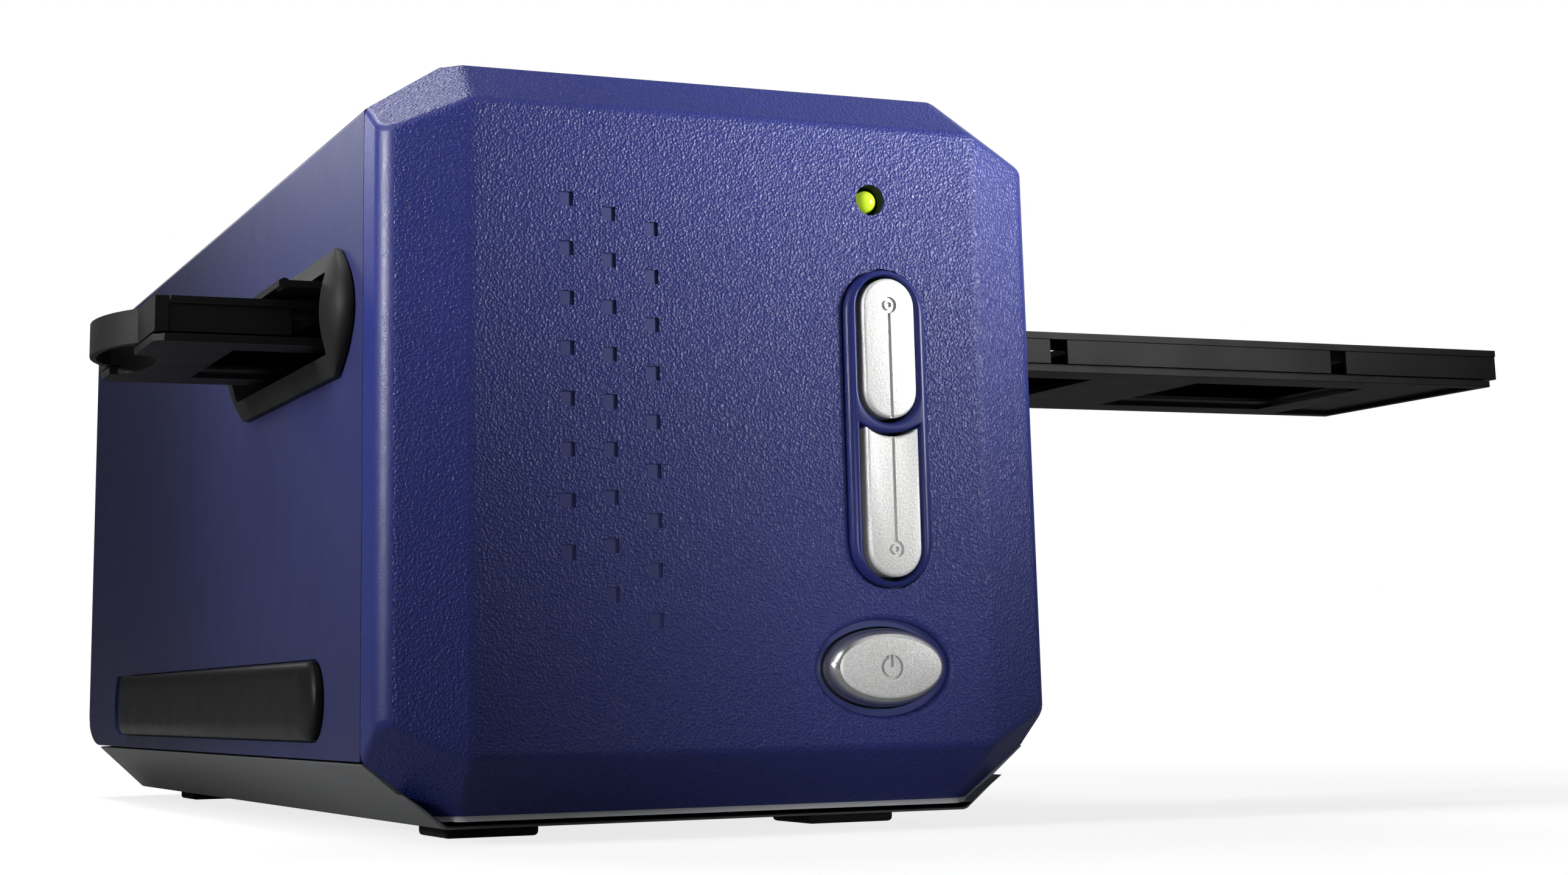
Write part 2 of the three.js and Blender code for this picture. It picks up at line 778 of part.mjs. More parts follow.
function crownPoints(wayY, cornerY) {
  const middleZ = (frameLowZ + frameHighZ) / 2;
  const crestY = cornerY - wayY * frameCrestInset;
  const edgeX = half + fitGap + frameEdgeThick;
  const points = [];
  for (let i = 0; i <= arcSteps; i += 1) {
    const heightShare = (2 * i) / arcSteps - 1;
    const crownShare = 1 - heightShare * heightShare;
    const edgeY = cornerY + wayY * frameEndBulge * crownShare;
    for (let j = 1; j <= crownSteps; j += 1) {
      const inShare = j / crownSteps;
      const riseShare = crownShare * Math.sqrt(1 - (1 - inShare) ** 2);
      points.push([
        edgeX + (half + frameProud - edgeX) * riseShare,
        edgeY + (crestY - edgeY) * inShare,
        middleZ + heightShare * (frameHighZ - frameLowZ) / 2,
      ]);
    }
  }
  return points;
}

function makeSlotFrame(side) {
  const wallX = half + fitGap;
  const outline = barrel(frameFrontY, frameRearY, frameLowZ, frameHighZ, frameEndBulge, frameEndBulge);
  const collar = hull([
    ...outline.map(([y, z]) => [wallX, y, z]),
    ...outline.map(([y, z]) => [wallX + frameEdgeThick, y, z]),
    ...crownPoints(-1, frameFrontY),
    ...crownPoints(1, frameRearY),
  ].map(([x, y, z]) => [side * x, y, z]));
  const neck = block(
    side * (half - neckDepth), side * (wallX + frameEdgeThick),
    slotFrontY - neckWall, slotRearY + neckWall, slotLowZ - neckWall, slotHighZ + neckWall,
  );
  const passage = block(
    side * (half - neckDepth - overrun), side * (half + frameProud + overrun),
    slotFrontY, slotRearY, slotLowZ, slotHighZ,
  );
  const pinBore = rod(
    'y', side * doorAxisX, doorAxisZ, doorPinRadius + runningGap,
    slotFrontY - neckWall - overrun, slotRearY + neckWall + overrun, smallRoundSteps,
  );
  return cut(join(collar, neck), passage, pinBore);
}

place('slot_frame_left', makeSlotFrame(-1), blackPlastic);
place('slot_frame_right', makeSlotFrame(1), blackPlastic);

// Dust doors: both flaps point the way that the holder pushes them, towards -X
function makeDustDoor(side) {
  const axisX = side * doorAxisX;
  const frontY = slotFrontY + doorSideGap;
  const rearY = slotRearY - doorSideGap;
  const springY = rearY - springSpace;
  const tipX = axisX - doorReach;
  const lowZ = doorAxisZ - doorThick / 2;
  const highZ = doorAxisZ + doorThick / 2;
  const flap = block(tipX, axisX, frontY, springY, lowZ, highZ);
  const springFlap = block(tipX, axisX - 2 * doorBarrelRadius, springY - overrun, rearY, lowZ, highZ);
  const barrelTube = rod('y', axisX, doorAxisZ, doorBarrelRadius, frontY, springY, smallRoundSteps);
  const ribDepth = lowZ - holderHighZ - fitGap;
  const ribs = Array.from({ length: doorRibCount }, (_, i) => {
    const y = holderFrontY + (holderWidth * (i + 1 / 2)) / doorRibCount;
    const ribX = tipX + doorThick;
    return block(ribX, ribX + doorRibLength, y, y + doorRibWidth, lowZ - ribDepth, highZ);
  });
  const lugs = [frontY, frontY + holderWidth / doorRibCount, rearY - doorLugLength].map((y) => (
    rod('y', tipX + doorLugRadius, doorAxisZ, doorLugRadius, y, y + doorLugLength, smallRoundSteps)
  ));
  const pinBore = rod(
    'y', axisX, doorAxisZ, doorPinRadius + runningGap, frontY - overrun, springY + overrun, smallRoundSteps,
  );
  return cut(join(flap, springFlap, barrelTube, ...ribs, ...lugs), pinBore);
}

function makeDoorSpring(side) {
  const axisX = side * doorAxisX;
  const startY = slotRearY - doorSideGap - springSpace + fitGap + springWireRadius;
  const length = springSpace - 2 * (fitGap + springWireRadius);
  const stepsPerTurn = 8;
  const ringSides = 5;
  const steps = springTurns * stepsPerTurn;
  const positions = [];
  const index = [];
  for (let i = 0; i <= steps; i += 1) {
    const angle = (2 * Math.PI * i) / stepsPerTurn;
    const y = startY + (length * i) / steps;
    for (let j = 0; j < ringSides; j += 1) {
      const turn = (2 * Math.PI * j) / ringSides;
      const radius = springCoilRadius + springWireRadius * Math.cos(turn);
      positions.push(
        axisX + radius * Math.cos(angle), y + springWireRadius * Math.sin(turn), doorAxisZ + radius * Math.sin(angle),
      );
    }
  }
  for (let i = 0; i < steps; i += 1) {
    for (let j = 0; j < ringSides; j += 1) {
      const a = i * ringSides + j;
      const b = i * ringSides + (j + 1) % ringSides;
      index.push(a, b, a + ringSides, b, b + ringSides, a + ringSides);
    }
  }
  const last = steps * ringSides;
  for (let j = 1; j < ringSides - 1; j += 1) {
    index.push(0, j + 1, j);
    index.push(last, last + j, last + j + 1);
  }
  const geometry = new THREE.BufferGeometry();
  geometry.setAttribute('position', new THREE.Float32BufferAttribute(positions, 3));
  geometry.setIndex(index);
  return toSolid(geometry);
}

for (const [word, side] of [['left', -1], ['right', 1]]) {
  place(`dust_door_${word}`, makeDustDoor(side), blackPlastic);
  place(`door_pin_${word}`, rod(
    'y', side * doorAxisX, doorAxisZ, doorPinRadius,
    slotFrontY - neckWall + fitGap, slotRearY + neckWall - fitGap, smallRoundSteps,
  ), steel);
  place(`door_spring_${word}`, makeDoorSpring(side), steel);
}

// Side pads: soft strips with bulged ends, set in shallow recesses
function makePad(side) {
  const backX = half - padRecess + fitGap;
  const faceX = backX + padThick;
  const edgeX = backX + padThick / 2;
  const ringAt = (inset, x) => padOutline(-inset).map(([y, z]) => [side * x, y, z]);
  return hull([...ringAt(0, backX), ...ringAt(0, edgeX), ...ringAt(padThick / 2, faceX)]);
}

place('side_pad_left', makePad(-1), blackRubber);
place('side_pad_right', makePad(1), blackRubber);

// Base tray: sloped sides, rear corners cut slanting, posts and standoffs inside
const floorHalf = half - cornerRun;

function baseForm(inset, lowZ, highZ) {
  const x = half - inset;
  const floorX = floorHalf - inset / 2;
  const frontY = baseFrontY + inset;
  const rearY = baseRearY - inset;
  const topRearY = bodyDepth - inset;
  const sideRearY = baseSideRearY - inset / 2;
  const points = [];
  for (const side of [-1, 1]) {
    points.push([side * floorX, frontY, lowZ], [side * floorX, rearY, lowZ]);
    points.push([side * x, frontY, highZ], [side * x, sideRearY, highZ], [side * floorX, topRearY, highZ]);
  }
  return hull(points);
}

const footPlaces = [-1, 1].flatMap((side) => [
  { side, end: 'front', y: footFrontY + footWidth / 2 },
  { side, end: 'rear', y: baseRearY - footRearGap - footWidth / 2 },
]);
const chassisPostYs = [chassisFrontY + 2 * chassisPostRadius, chassisRearY - 2 * chassisPostRadius];
const standoffYs = [mainBoardFrontY + standoffInset, boardRearY - standoffRearInset];
const standoffX = mainBoardWidth / 2 - standoffInset;

function chassisPosts(radius, lowZ, highZ) {
  return [-1, 1].flatMap((side) => chassisPostYs.map((y) => (
    rod('z', side * chassisPostX, y, radius, lowZ, highZ, smallRoundSteps)
  )));
}

function boardPosts(radius, lowZ, highZ) {
  return [-1, 1].flatMap((side) => standoffYs.map((y) => (
    rod('z', side * standoffX, y, radius, lowZ, highZ, smallRoundSteps)
  )));
}

function makeBaseTray() {
  const outer = baseForm(0, 0, housingLowZ - fitGap);
  const hollow = baseForm(baseWall, baseWall, housingLowZ + overrun);
  const lipTop = block(
    -half - overrun, half + overrun, baseFrontY - overrun, seamY, frontLipHeight - fitGap, housingLowZ + overrun,
  );
  const lipCorners = prism('y', [
    [-half - overrun, lowCornerRise - fitGap], [-floorHalf, frontLipHeight - fitGap],
    [floorHalf, frontLipHeight - fitGap], [half + overrun, lowCornerRise - fitGap],
    [half + overrun, bodyHeight], [-half - overrun, bodyHeight],
  ], baseFrontY - overrun, seamY);
  const tray = join(
    cut(outer, hollow, lipTop.intersect(lipCorners)),
    ...chassisPosts(chassisPostRadius, baseWall / 2, chassisFloorZ - fitGap),
    ...boardPosts(standoffRadius, baseWall / 2, mainBoardLowZ - fitGap),
  );
  const footPockets = footPlaces.map(({ side, y }) => block(
    side * footX - footLength / 2 - fitGap, side * footX + footLength / 2 + fitGap,
    y - footWidth / 2 - fitGap, y + footWidth / 2 + fitGap, -overrun, footSeat,
  ));
  const screwBores = chassisPosts(screwRadius + runningGap, -overrun, chassisFloorZ);
  const screwSinks = chassisPosts(screwHeadRadius + fitGap, -overrun, screwHeadHeight);
  return cut(tray, ...footPockets, ...screwBores, ...screwSinks);
}

place('base_tray', makeBaseTray(), silverPaint);

for (const { side, end, y } of footPlaces) {
  const word = side < 0 ? 'left' : 'right';
  place(`foot_${end}_${word}`, block(
    side * footX - footLength / 2, side * footX + footLength / 2,
    y - footWidth / 2, y + footWidth / 2, -footHeight, footSeat - fitGap,
  ), blackRubber);
}

// Rear panel: carries the two sockets and the vents
const socketLowZ = mainBoardLowZ + boardThick + fitGap;
const panelOuterY = bodyDepth + rearPanelProud;
const jackZ = socketLowZ + jackBodyHeight / 2;
const usbZ = socketLowZ + usbHeight / 2;

function makeRearPanel() {
  const plate = block(
    -rearPanelWidth / 2, rearPanelWidth / 2, bodyDepth - shellWall, panelOuterY,
    housingLowZ, rearPanelTopZ,
  );
  const hollow = block(
    -rearPanelWidth / 2 + shellWall, rearPanelWidth / 2 - shellWall,
    bodyDepth - shellWall - overrun, panelOuterY - rearPanelThick,
    housingLowZ - overrun, rearPanelTopZ - shellWall,
  );
  const vents = Array.from({ length: ventCount }, (_, i) => {
    const x = (i - (ventCount - 1) / 2) * ventPitch;
    return block(
      x - ventWidth / 2, x + ventWidth / 2, panelOuterY - rearPanelThick - overrun, panelOuterY + overrun,
      ventLowZ, ventLowZ + ventHeight,
    );
  });
  const jackHole = rod(
    'y', jackX, jackZ, jackRadius + jackWall + fitGap,
    panelOuterY - rearPanelThick - overrun, panelOuterY + overrun,
  );
  const usbHole = block(
    usbX - usbWidth / 2 - fitGap, usbX + usbWidth / 2 + fitGap,
    panelOuterY - rearPanelThick - overrun, panelOuterY + overrun,
    usbZ - usbHeight / 2 - fitGap, usbZ + usbHeight / 2 + fitGap,
  );
  return cut(plate, hollow, ...vents, jackHole, usbHole);
}

place('rear_panel', makeRearPanel(), silverPaint);

function makeJack() {
  const rearY = panelOuterY - rearPanelThick - fitGap;
  const mouthY = panelOuterY + jackProud;
  const body = block(
    jackX - jackBodyWidth / 2, jackX + jackBodyWidth / 2, rearY - jackBodyDepth, rearY,
    socketLowZ, socketLowZ + jackBodyHeight,
  );
  const collar = rod('y', jackX, jackZ, jackRadius + jackWall, rearY - overrun, mouthY);
  const bore = rod('y', jackX, jackZ, jackRadius, mouthY - jackPinLength, mouthY + overrun);
  const pin = rod('y', jackX, jackZ, jackPinRadius, mouthY - jackPinLength - overrun, mouthY - jackPinSetback);
  return join(cut(join(body, collar), bore), pin);
}

place('dc_jack', makeJack(), blackPlastic);

function makeUsbSocket() {
  const mouthY = panelOuterY + fitGap;
  const shell = block(
    usbX - usbWidth / 2, usbX + usbWidth / 2, mouthY - usbDepth, mouthY,
    usbZ - usbHeight / 2, usbZ + usbHeight / 2,
  );
  const hollow = block(
    usbX - usbWidth / 2 + usbWall, usbX + usbWidth / 2 - usbWall, mouthY - usbDepth + usbWall, mouthY + overrun,
    usbZ - usbHeight / 2 + usbWall, usbZ + usbHeight / 2 - usbWall,
  );
  const tongue = block(
    usbX - usbTongueWidth / 2, usbX + usbTongueWidth / 2, mouthY - usbDepth + usbWall / 2, mouthY - usbDepth / 2,
    usbZ - usbTongueThick / 2, usbZ + usbTongueThick / 2,
  );
  return join(cut(shell, hollow), tongue);
}

place('usb_socket', makeUsbSocket(), steel);

// Main board with its larger parts soldered on
function makeMainBoard() {
  const halfWidth = mainBoardWidth / 2;
  const topZ = mainBoardLowZ + boardThick;
  const rearY = panelOuterY - rearPanelThick - fitGap - jackBodyDepth / 2;
  const board = block(-halfWidth, halfWidth, mainBoardFrontY, rearY, mainBoardLowZ, topZ);
  const trim = block(-half, half, mainBoardFrontY - overrun, rearY + overrun, 0, bodyHeight)
    .intersect(baseForm(baseWall + 2 * fitGap, 0, housingLowZ));
  const chips = Array.from({ length: chipCount }, (_, i) => {
    const y = mainBoardFrontY + (i + 1) * chipPitchShare * (rearY - mainBoardFrontY);
    return block(-chipSize / 2, chipSize / 2, y, y + chipSize, topZ - boardThick / 2, topZ + chipHeight);
  });
  const capacitors = Array.from({ length: capacitorCount }, (_, i) => rod(
    'z', halfWidth - capacitorPitch, mainBoardFrontY + (i + 1) * capacitorPitch, capacitorRadius,
    topZ - boardThick / 2, topZ + capacitorHeight, smallRoundSteps,
  ));
  const postHoles = chassisPosts(chassisPostRadius + fitGap, 0, bodyHeight);
  return cut(join(board.intersect(trim), ...chips, ...capacitors), ...postHoles);
}

place('main_board', makeMainBoard(), boardGreen);

// Chassis: floor, low front and rear walls, and side wings that carry the film stage
const stageLowZ = stageTopZ - stageThick;
const wingRearY = holderRearY + railWidth;

function makeChassis() {
  const x = chassisHalfWidth;
  const floor = block(-x, x, chassisFrontY, chassisRearY, chassisFloorZ, chassisFloorZ + chassisThick);
  const front = block(-x, x, chassisFrontY, chassisFrontY + chassisThick, chassisFloorZ, chassisFrontTopZ);
  const rear = block(-x, x, chassisRearY - chassisThick, chassisRearY, chassisFloorZ, rearWallTopZ);
  const wings = [-1, 1].map((side) => block(
    side * (x - chassisThick), side * x, chassisFrontY, wingRearY, chassisFloorZ, stageLowZ - fitGap,
  ));
  const rodBores = [-1, 1].map((side) => rod(
    'y', side * rodX, rodZ, rodRadius + runningGap, chassisFrontY - overrun, chassisRearY + overrun,
  ));
  const screwBore = rod(
    'y', screwShaftX, rodZ, frontBushRadius + runningGap, chassisFrontY - overrun, chassisRearY + overrun,
  );
  const fixings = chassisPosts(screwRadius + runningGap, chassisFloorZ - overrun, rodZ - 2 * rodRadius);
  return cut(join(floor, front, rear, ...wings), ...rodBores, screwBore, ...fixings);
}

place('chassis', makeChassis(), steel);

function makeChassisScrews(side, y) {
  const shank = rod(
    'z', side * chassisPostX, y, screwRadius, screwHeadHeight / 2,
    chassisFloorZ + chassisThick + screwHeadHeight, smallRoundSteps,
  );
  const head = rod('z', side * chassisPostX, y, screwHeadRadius, fitGap, screwHeadHeight - fitGap, smallRoundSteps);
  return join(shank, head);
}

for (const [word, side] of [['left', -1], ['right', 1]]) {
  for (const [end, y] of [['front', chassisPostYs[0]], ['rear', chassisPostYs[1]]]) {
    place(`base_screw_${end}_${word}`, makeChassisScrews(side, y), steel);
  }
}

// Film stage: the holder slides on its plate between two rails
function windowBlock(margin, lowZ, highZ) {
  return block(
    opticalX - filmWidth / 2 - margin, opticalX + filmWidth / 2 + margin,
    opticalY - filmHeight / 2 - margin, opticalY + filmHeight / 2 + margin, lowZ, highZ,
  );
}

const railTopZ = holderHighZ + fitGap;

function makeFilmStage() {
  const frontY = holderFrontY - fitGap - railWidth;
  const rearY = holderRearY + fitGap + railWidth;
  const plate = block(-stageHalfLength, stageHalfLength, frontY, rearY, stageLowZ, stageTopZ);
  const rails = [[frontY, frontY + railWidth], [rearY - railWidth, rearY]].map(([y0, y1]) => (
    block(-stageHalfLength, stageHalfLength, y0, y1, stageLowZ, railTopZ)
  ));
  const detentPocket = block(
    opticalX - detentLength / 2 - fitGap, opticalX + detentLength / 2 + fitGap,
    rearY - railWidth - overrun, rearY - railWidth + detentRadius + detentRise + fitGap,
    stageTopZ, railTopZ + overrun,
  );
  return cut(
    join(plate, ...rails),
    windowBlock(stageWindowMargin, stageLowZ - overrun, stageTopZ + overrun),
    detentPocket,
  );
}

place('film_stage', makeFilmStage(), blackPlastic);

function makeLightMask() {
  const lowZ = railTopZ + fitGap;
  const plate = block(
    -maskHalfLength, maskHalfLength, holderFrontY - fitGap - railWidth, holderRearY + fitGap + railWidth,
    lowZ, lowZ + maskThick,
  );
  return cut(plate, windowBlock(stageWindowMargin, lowZ - overrun, lowZ + maskThick + overrun));
}

place('light_mask', makeLightMask(), blackPlastic);

// Detent spring: a bent strip whose nose rests by the holder's rear edge
function makeDetentSpring() {
  const backY = holderRearY + fitGap + detentRadius + detentRise;
  const noseY = holderRearY + fitGap;
  const x0 = opticalX - detentLength / 2;
  const x1 = opticalX + detentLength / 2;
  const outer = [
    [x0, backY], [x0 + detentFootLength, backY], [opticalX - detentRadius, noseY + detentThick],
    [opticalX + detentRadius, noseY + detentThick], [x1 - detentFootLength, backY], [x1, backY],
  ];
  const inner = outer.map(([x, y]) => [x, y - detentThick]).reverse();
  return prism('z', [...inner, ...outer], plateTopZ, coverLowZ);
}

place('holder_detent_spring', makeDetentSpring(), steel);

// Film holder: a base plate with four openings, a frame with the mount bays and the finger end,
// and a cover with four windows
const windowXs = Array.from({ length: frameCount }, (_, i) => opticalX + (firstFrameStep + i) * framePitch);
const fingerY = holderFrontY + fingerEndMiddle;

function fingerSlot(lowZ, highZ) {
  const x = holderLeftX - fingerEndReach + fingerRingWall + fingerSlotWidth / 2;
  return prism('z', ellipse(x, fingerY, fingerSlotWidth / 2, fingerSlotLength / 2), lowZ, highZ);
}

function openingBlock(x, width, height, lowZ, highZ) {
  return block(x - width / 2, x + width / 2, opticalY - height / 2, opticalY + height / 2, lowZ, highZ);
}

function filmWindows(lowZ, highZ) {
  return windowXs.map((x) => openingBlock(x, filmWidth + windowMargin, filmHeight + windowMargin, lowZ, highZ));
}

function makeHolderBase() {
  const rightX = holderRightX - holderPlateShort;
  const outline = [
    [rightX, holderFrontY], [rightX, holderRearY],
    [holderLeftX + holderCornerCut, holderRearY], [holderLeftX, holderRearY - holderCornerCut],
    [holderLeftX, holderFrontY + holderCornerCut], [holderLeftX + holderCornerCut, holderFrontY],
  ];
  const plate = prism('z', outline, holderLowZ, plateTopZ);
  const seat = block(
    holderLeftX + holderCornerCut, rightX - holderGrooveDepth,
    holderFrontY + holderGrooveDepth, holderRearY - holderGrooveDepth, plateTopZ - overrun / 2, wallLowZ - fitGap,
  );
  const recesses = windowXs.map((x) => (
    openingBlock(x, openingWidth, openingHeight, holderLowZ - overrun, plateTopZ - fitGap)
  ));
  const lastBayX = windowXs.at(-1) + bayLength / 2;
  const endPocket = block(
    lastBayX + endPocketWall, rightX - endPocketWall,
    holderFrontY + 2 * endPocketWall, holderRearY - 2 * endPocketWall, holderLowZ - overrun, plateTopZ - fitGap,
  );
  return cut(
    join(plate, seat), ...recesses, ...filmWindows(holderLowZ - overrun, wallLowZ), endPocket,
    fingerSlot(holderLowZ - overrun, wallLowZ),
  );
}

place('holder_base', makeHolderBase(), blackPlastic);

function makeHolderFrame() {
  const topZ = coverLowZ - fitGap;
  const walls = block(
    holderLeftX, holderRightX, holderFrontY + holderWallInset, holderRearY - holderWallInset, wallLowZ, topZ,
  );
  const fingerEnd = prism('z', [
    [coverLeftX - fitGap, holderFrontY], [coverLeftX - fitGap, holderRearY],
    [holderLeftX, holderRearY],
    ...bulgedLine(
      [holderLeftX, fingerY + fingerEndLength / 2], [holderLeftX, fingerY - fingerEndLength / 2], fingerEndReach,
    ),
    [holderLeftX, holderFrontY],
  ], wallLowZ, holderHighZ);
  const bays = windowXs.map((x) => (
    openingBlock(x, bayLength, holderWidth - 2 * baySideWall, wallLowZ - overrun, topZ + overrun)
  ));
  const gripNotches = windowXs.slice(1).map((x) => [x + gripNotchOffset - gripNotchWidth / 2, gripNotchWidth]);
  const wallNotches = [[loadingNotchX, loadingNotchWidth], ...gripNotches].map(([x, width]) => block(
    x, x + width, holderFrontY - overrun, holderFrontY + gripNotchDepth, wallLowZ - overrun, topZ + overrun,
  ));
  return cut(
    join(walls, fingerEnd), ...bays, ...wallNotches, fingerSlot(wallLowZ - overrun, holderHighZ + overrun),
  );
}

place('holder_frame', makeHolderFrame(), blackPlastic);

function makeHolderCover() {
  const plate = block(coverLeftX, holderRightX, holderFrontY, holderRearY, coverLowZ, holderHighZ);
  return cut(
    plate, ...filmWindows(coverLowZ - overrun, holderHighZ + overrun),
    fingerSlot(coverLowZ - overrun, holderHighZ + overrun),
  );
}

place('holder_cover', makeHolderCover(), blackPlastic);

// Guide rods, lead screw and motor
for (const [word, side] of [['left', -1], ['right', 1]]) {
  place(`guide_rod_${word}`, rod(
    'y', side * rodX, rodZ, rodRadius, chassisFrontY - rodEnd, chassisRearY + rodEnd,
  ), steel);
}

function makeLeadScrew() {
  const core = rod(
    'y', screwShaftX, rodZ, screwShaftRadius * screwCoreShare, chassisFrontY - frontBushLength / 2,
    chassisRearY + motorLength / 2 - fitGap,
  );
  const ridges = [];
  const startY = nutY - nutLength;
  const count = Math.ceil((scanTravel + 2 * nutLength) / threadPitch);
  for (let i = 0; i < count; i += 1) {
    ridges.push(rod(
      'y', screwShaftX, rodZ, screwShaftRadius, startY + i * threadPitch, startY + (i + 1 / 2) * threadPitch,
      smallRoundSteps,
    ));
  }
  return join(core, ...ridges);
}

place('lead_screw', makeLeadScrew(), steel);

function ringAlongY(x, z, outer, inner, from, to) {
  return cut(rod('y', x, z, outer, from, to), rod('y', x, z, inner, from - overrun, to + overrun));
}

place('screw_bush', ringAlongY(
  screwShaftX, rodZ, frontBushRadius, screwShaftRadius * screwCoreShare + runningGap,
  chassisFrontY - frontBushLength / 2, chassisFrontY + frontBushLength / 2,
), brass);

function makeMotor() {
  const faceY = chassisRearY + fitGap;
  const can = rod('y', screwShaftX, rodZ, motorRadius, faceY, faceY + motorLength);
  const pilot = rod(
    'y', screwShaftX, rodZ, frontBushRadius - fitGap, chassisRearY - chassisThick, faceY + overrun,
  );
  const shaftBore = rod(
    'y', screwShaftX, rodZ, screwShaftRadius * screwCoreShare + runningGap,
    chassisRearY - 2 * chassisThick, faceY + motorLength / 2,
  );
  return cut(join(can, pilot), shaftBore);
}

place('stepper_motor', makeMotor(), steel);

// Scan carriage: a deck on three bushes, a post behind the holder, and an arm with the lamp over it
const bearingSpots = [
  { name: 'slide_bush_front_left', x: -rodX, y: deckFrontY + bearingBlockLength / 2 },
  { name: 'slide_bush_rear_left', x: -rodX, y: deckRearY - bearingBlockLength / 2 },
  { name: 'slide_bush_right', x: rodX, y: (deckFrontY + deckRearY) / 2 },
];

function makeCarriageDeck() {
  const deck = block(-carriageHalfWidth, carriageHalfWidth, deckFrontY, deckRearY, carriageFloorZ, deckTopZ);
  const outerRadius = rodRadius + bushWall + runningGap;
  const bearings = bearingSpots.map(({ x, y }) => block(
    x - bearingBlockWidth / 2 + fitGap, x + bearingBlockWidth / 2 - fitGap,
    y - bearingBlockLength / 2, y + bearingBlockLength / 2,
    rodZ - bearingBlockHeight, deckTopZ - carriageFloorThick / 2,
  ));
  const bores = bearingSpots.map(({ x, y }) => rod(
    'y', x, rodZ, outerRadius + runningGap, y - bearingBlockLength, y + bearingBlockLength,
  ));
  const nutBlock = block(
    screwShaftX - nutWall - nutRadius, screwShaftX + nutWall + nutRadius,
    nutY - nutLength / 2, nutY + nutLength / 2, rodZ - bearingBlockHeight, deckTopZ - carriageFloorThick / 2,
  );
  const nutBore = rod(
    'y', screwShaftX, rodZ, nutRadius + fitGap, nutY - nutLength, nutY + nutLength,
  );
  const slope = mirrorHeight / Math.SQRT2 / 2;
  const backShift = (mirrorThick / 2 + fitGap) * Math.SQRT2;
  const wedge = prism('x', [
    [scanHomeY - slope, deckTopZ - overrun], [scanHomeY + slope, deckTopZ - overrun],
    [scanHomeY + slope, opticsZ - slope - backShift], [scanHomeY - slope, opticsZ + slope - backShift],
  ], opticalX - mirrorWidth / 2, opticalX + mirrorWidth / 2);
  const lensY = scanHomeY + lensDistance;
  const saddle = cut(
    block(
      opticalX - lensRadius - nutWall, opticalX + lensRadius + nutWall, lensY, lensY + lensLength,
      deckTopZ - overrun, opticsZ,
    ),
    rod('y', opticalX, opticsZ, lensRadius + fitGap, lensY - overrun, lensY + lensLength + overrun),
  );
  return cut(join(deck, ...bearings, nutBlock, wedge, saddle), ...bores, nutBore);
}

place('carriage_deck', makeCarriageDeck(), blackPlastic);

for (const { name, x, y } of bearingSpots) {
  place(name, ringAlongY(
    x, rodZ, rodRadius + bushWall, rodRadius + runningGap, y - bushLength / 2, y + bushLength / 2,
  ), brass);
}

place('drive_nut', ringAlongY(
  screwShaftX, rodZ, nutRadius, screwShaftRadius + runningGap, nutY - nutLength / 2, nutY + nutLength / 2,
), brass);

const postY = holderRearY + fitGap + railWidth + postFrontGap;
const armLowZ = railTopZ + fitGap + maskThick + armGap;

place('carriage_post', block(
  opticalX - postHalfWidth, opticalX + postHalfWidth, postY, postY + postThick,
  deckTopZ + fitGap, armLowZ + armThick,
), blackPlastic);

place('lamp_arm', block(
  opticalX - armHalfWidth, opticalX + armHalfWidth, scanHomeY - lampDepth, postY - fitGap, armLowZ, armLowZ + armThick,
), blackPlastic);

place('lamp_board', block(
  opticalX - lampWidth / 2, opticalX + lampWidth / 2, scanHomeY - lampDepth / 2, scanHomeY + lampDepth / 2,
  armLowZ - fitGap - lampHeight, armLowZ - fitGap,
), boardGreen);

place('lamp_diffuser', block(
  opticalX - lampWidth / 2, opticalX + lampWidth / 2, scanHomeY - lampDepth / 2, scanHomeY + lampDepth / 2,
  armLowZ - 2 * fitGap - lampHeight - diffuserThick, armLowZ - 2 * fitGap - lampHeight,
), lampWhite);

function makeMirror() {
  const geometry = new THREE.BoxGeometry(mirrorWidth - 2 * fitGap, mirrorThick, mirrorHeight);
  geometry.rotateX(Math.PI / 4);
  geometry.translate(opticalX, scanHomeY, opticsZ);
  return toSolid(geometry);
}

place('fold_mirror', makeMirror(), clearGlass);

const lensFrontY = scanHomeY + lensDistance;
place('lens_barrel', ringAlongY(
  opticalX, opticsZ, lensRadius, lensBore, lensFrontY, lensFrontY + lensLength,
), blackPlastic);

place('lens_glass', rod(
  'y', opticalX, opticsZ, lensBore - runningGap,
  lensFrontY + lensGlassThick, lensFrontY + 2 * lensGlassThick,
), clearGlass);

const sensorY = scanHomeY + sensorDistance;
place('line_sensor', block(
  opticalX - sensorLength / 2, opticalX + sensorLength / 2, sensorY - sensorThick, sensorY,
  opticsZ - sensorHeight / 2, opticsZ + sensorHeight / 2,
), blackPlastic);

place('sensor_board', block(
  opticalX - sensorBoardWidth / 2, opticalX + sensorBoardWidth / 2, sensorY + fitGap, sensorY + fitGap + boardThick,
  deckTopZ + fitGap, deckTopZ + fitGap + sensorBoardHeight,
), boardGreen);

export default scanner;
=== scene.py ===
import json
import math
import bmesh
import bpy
from mathutils import Matrix, Vector


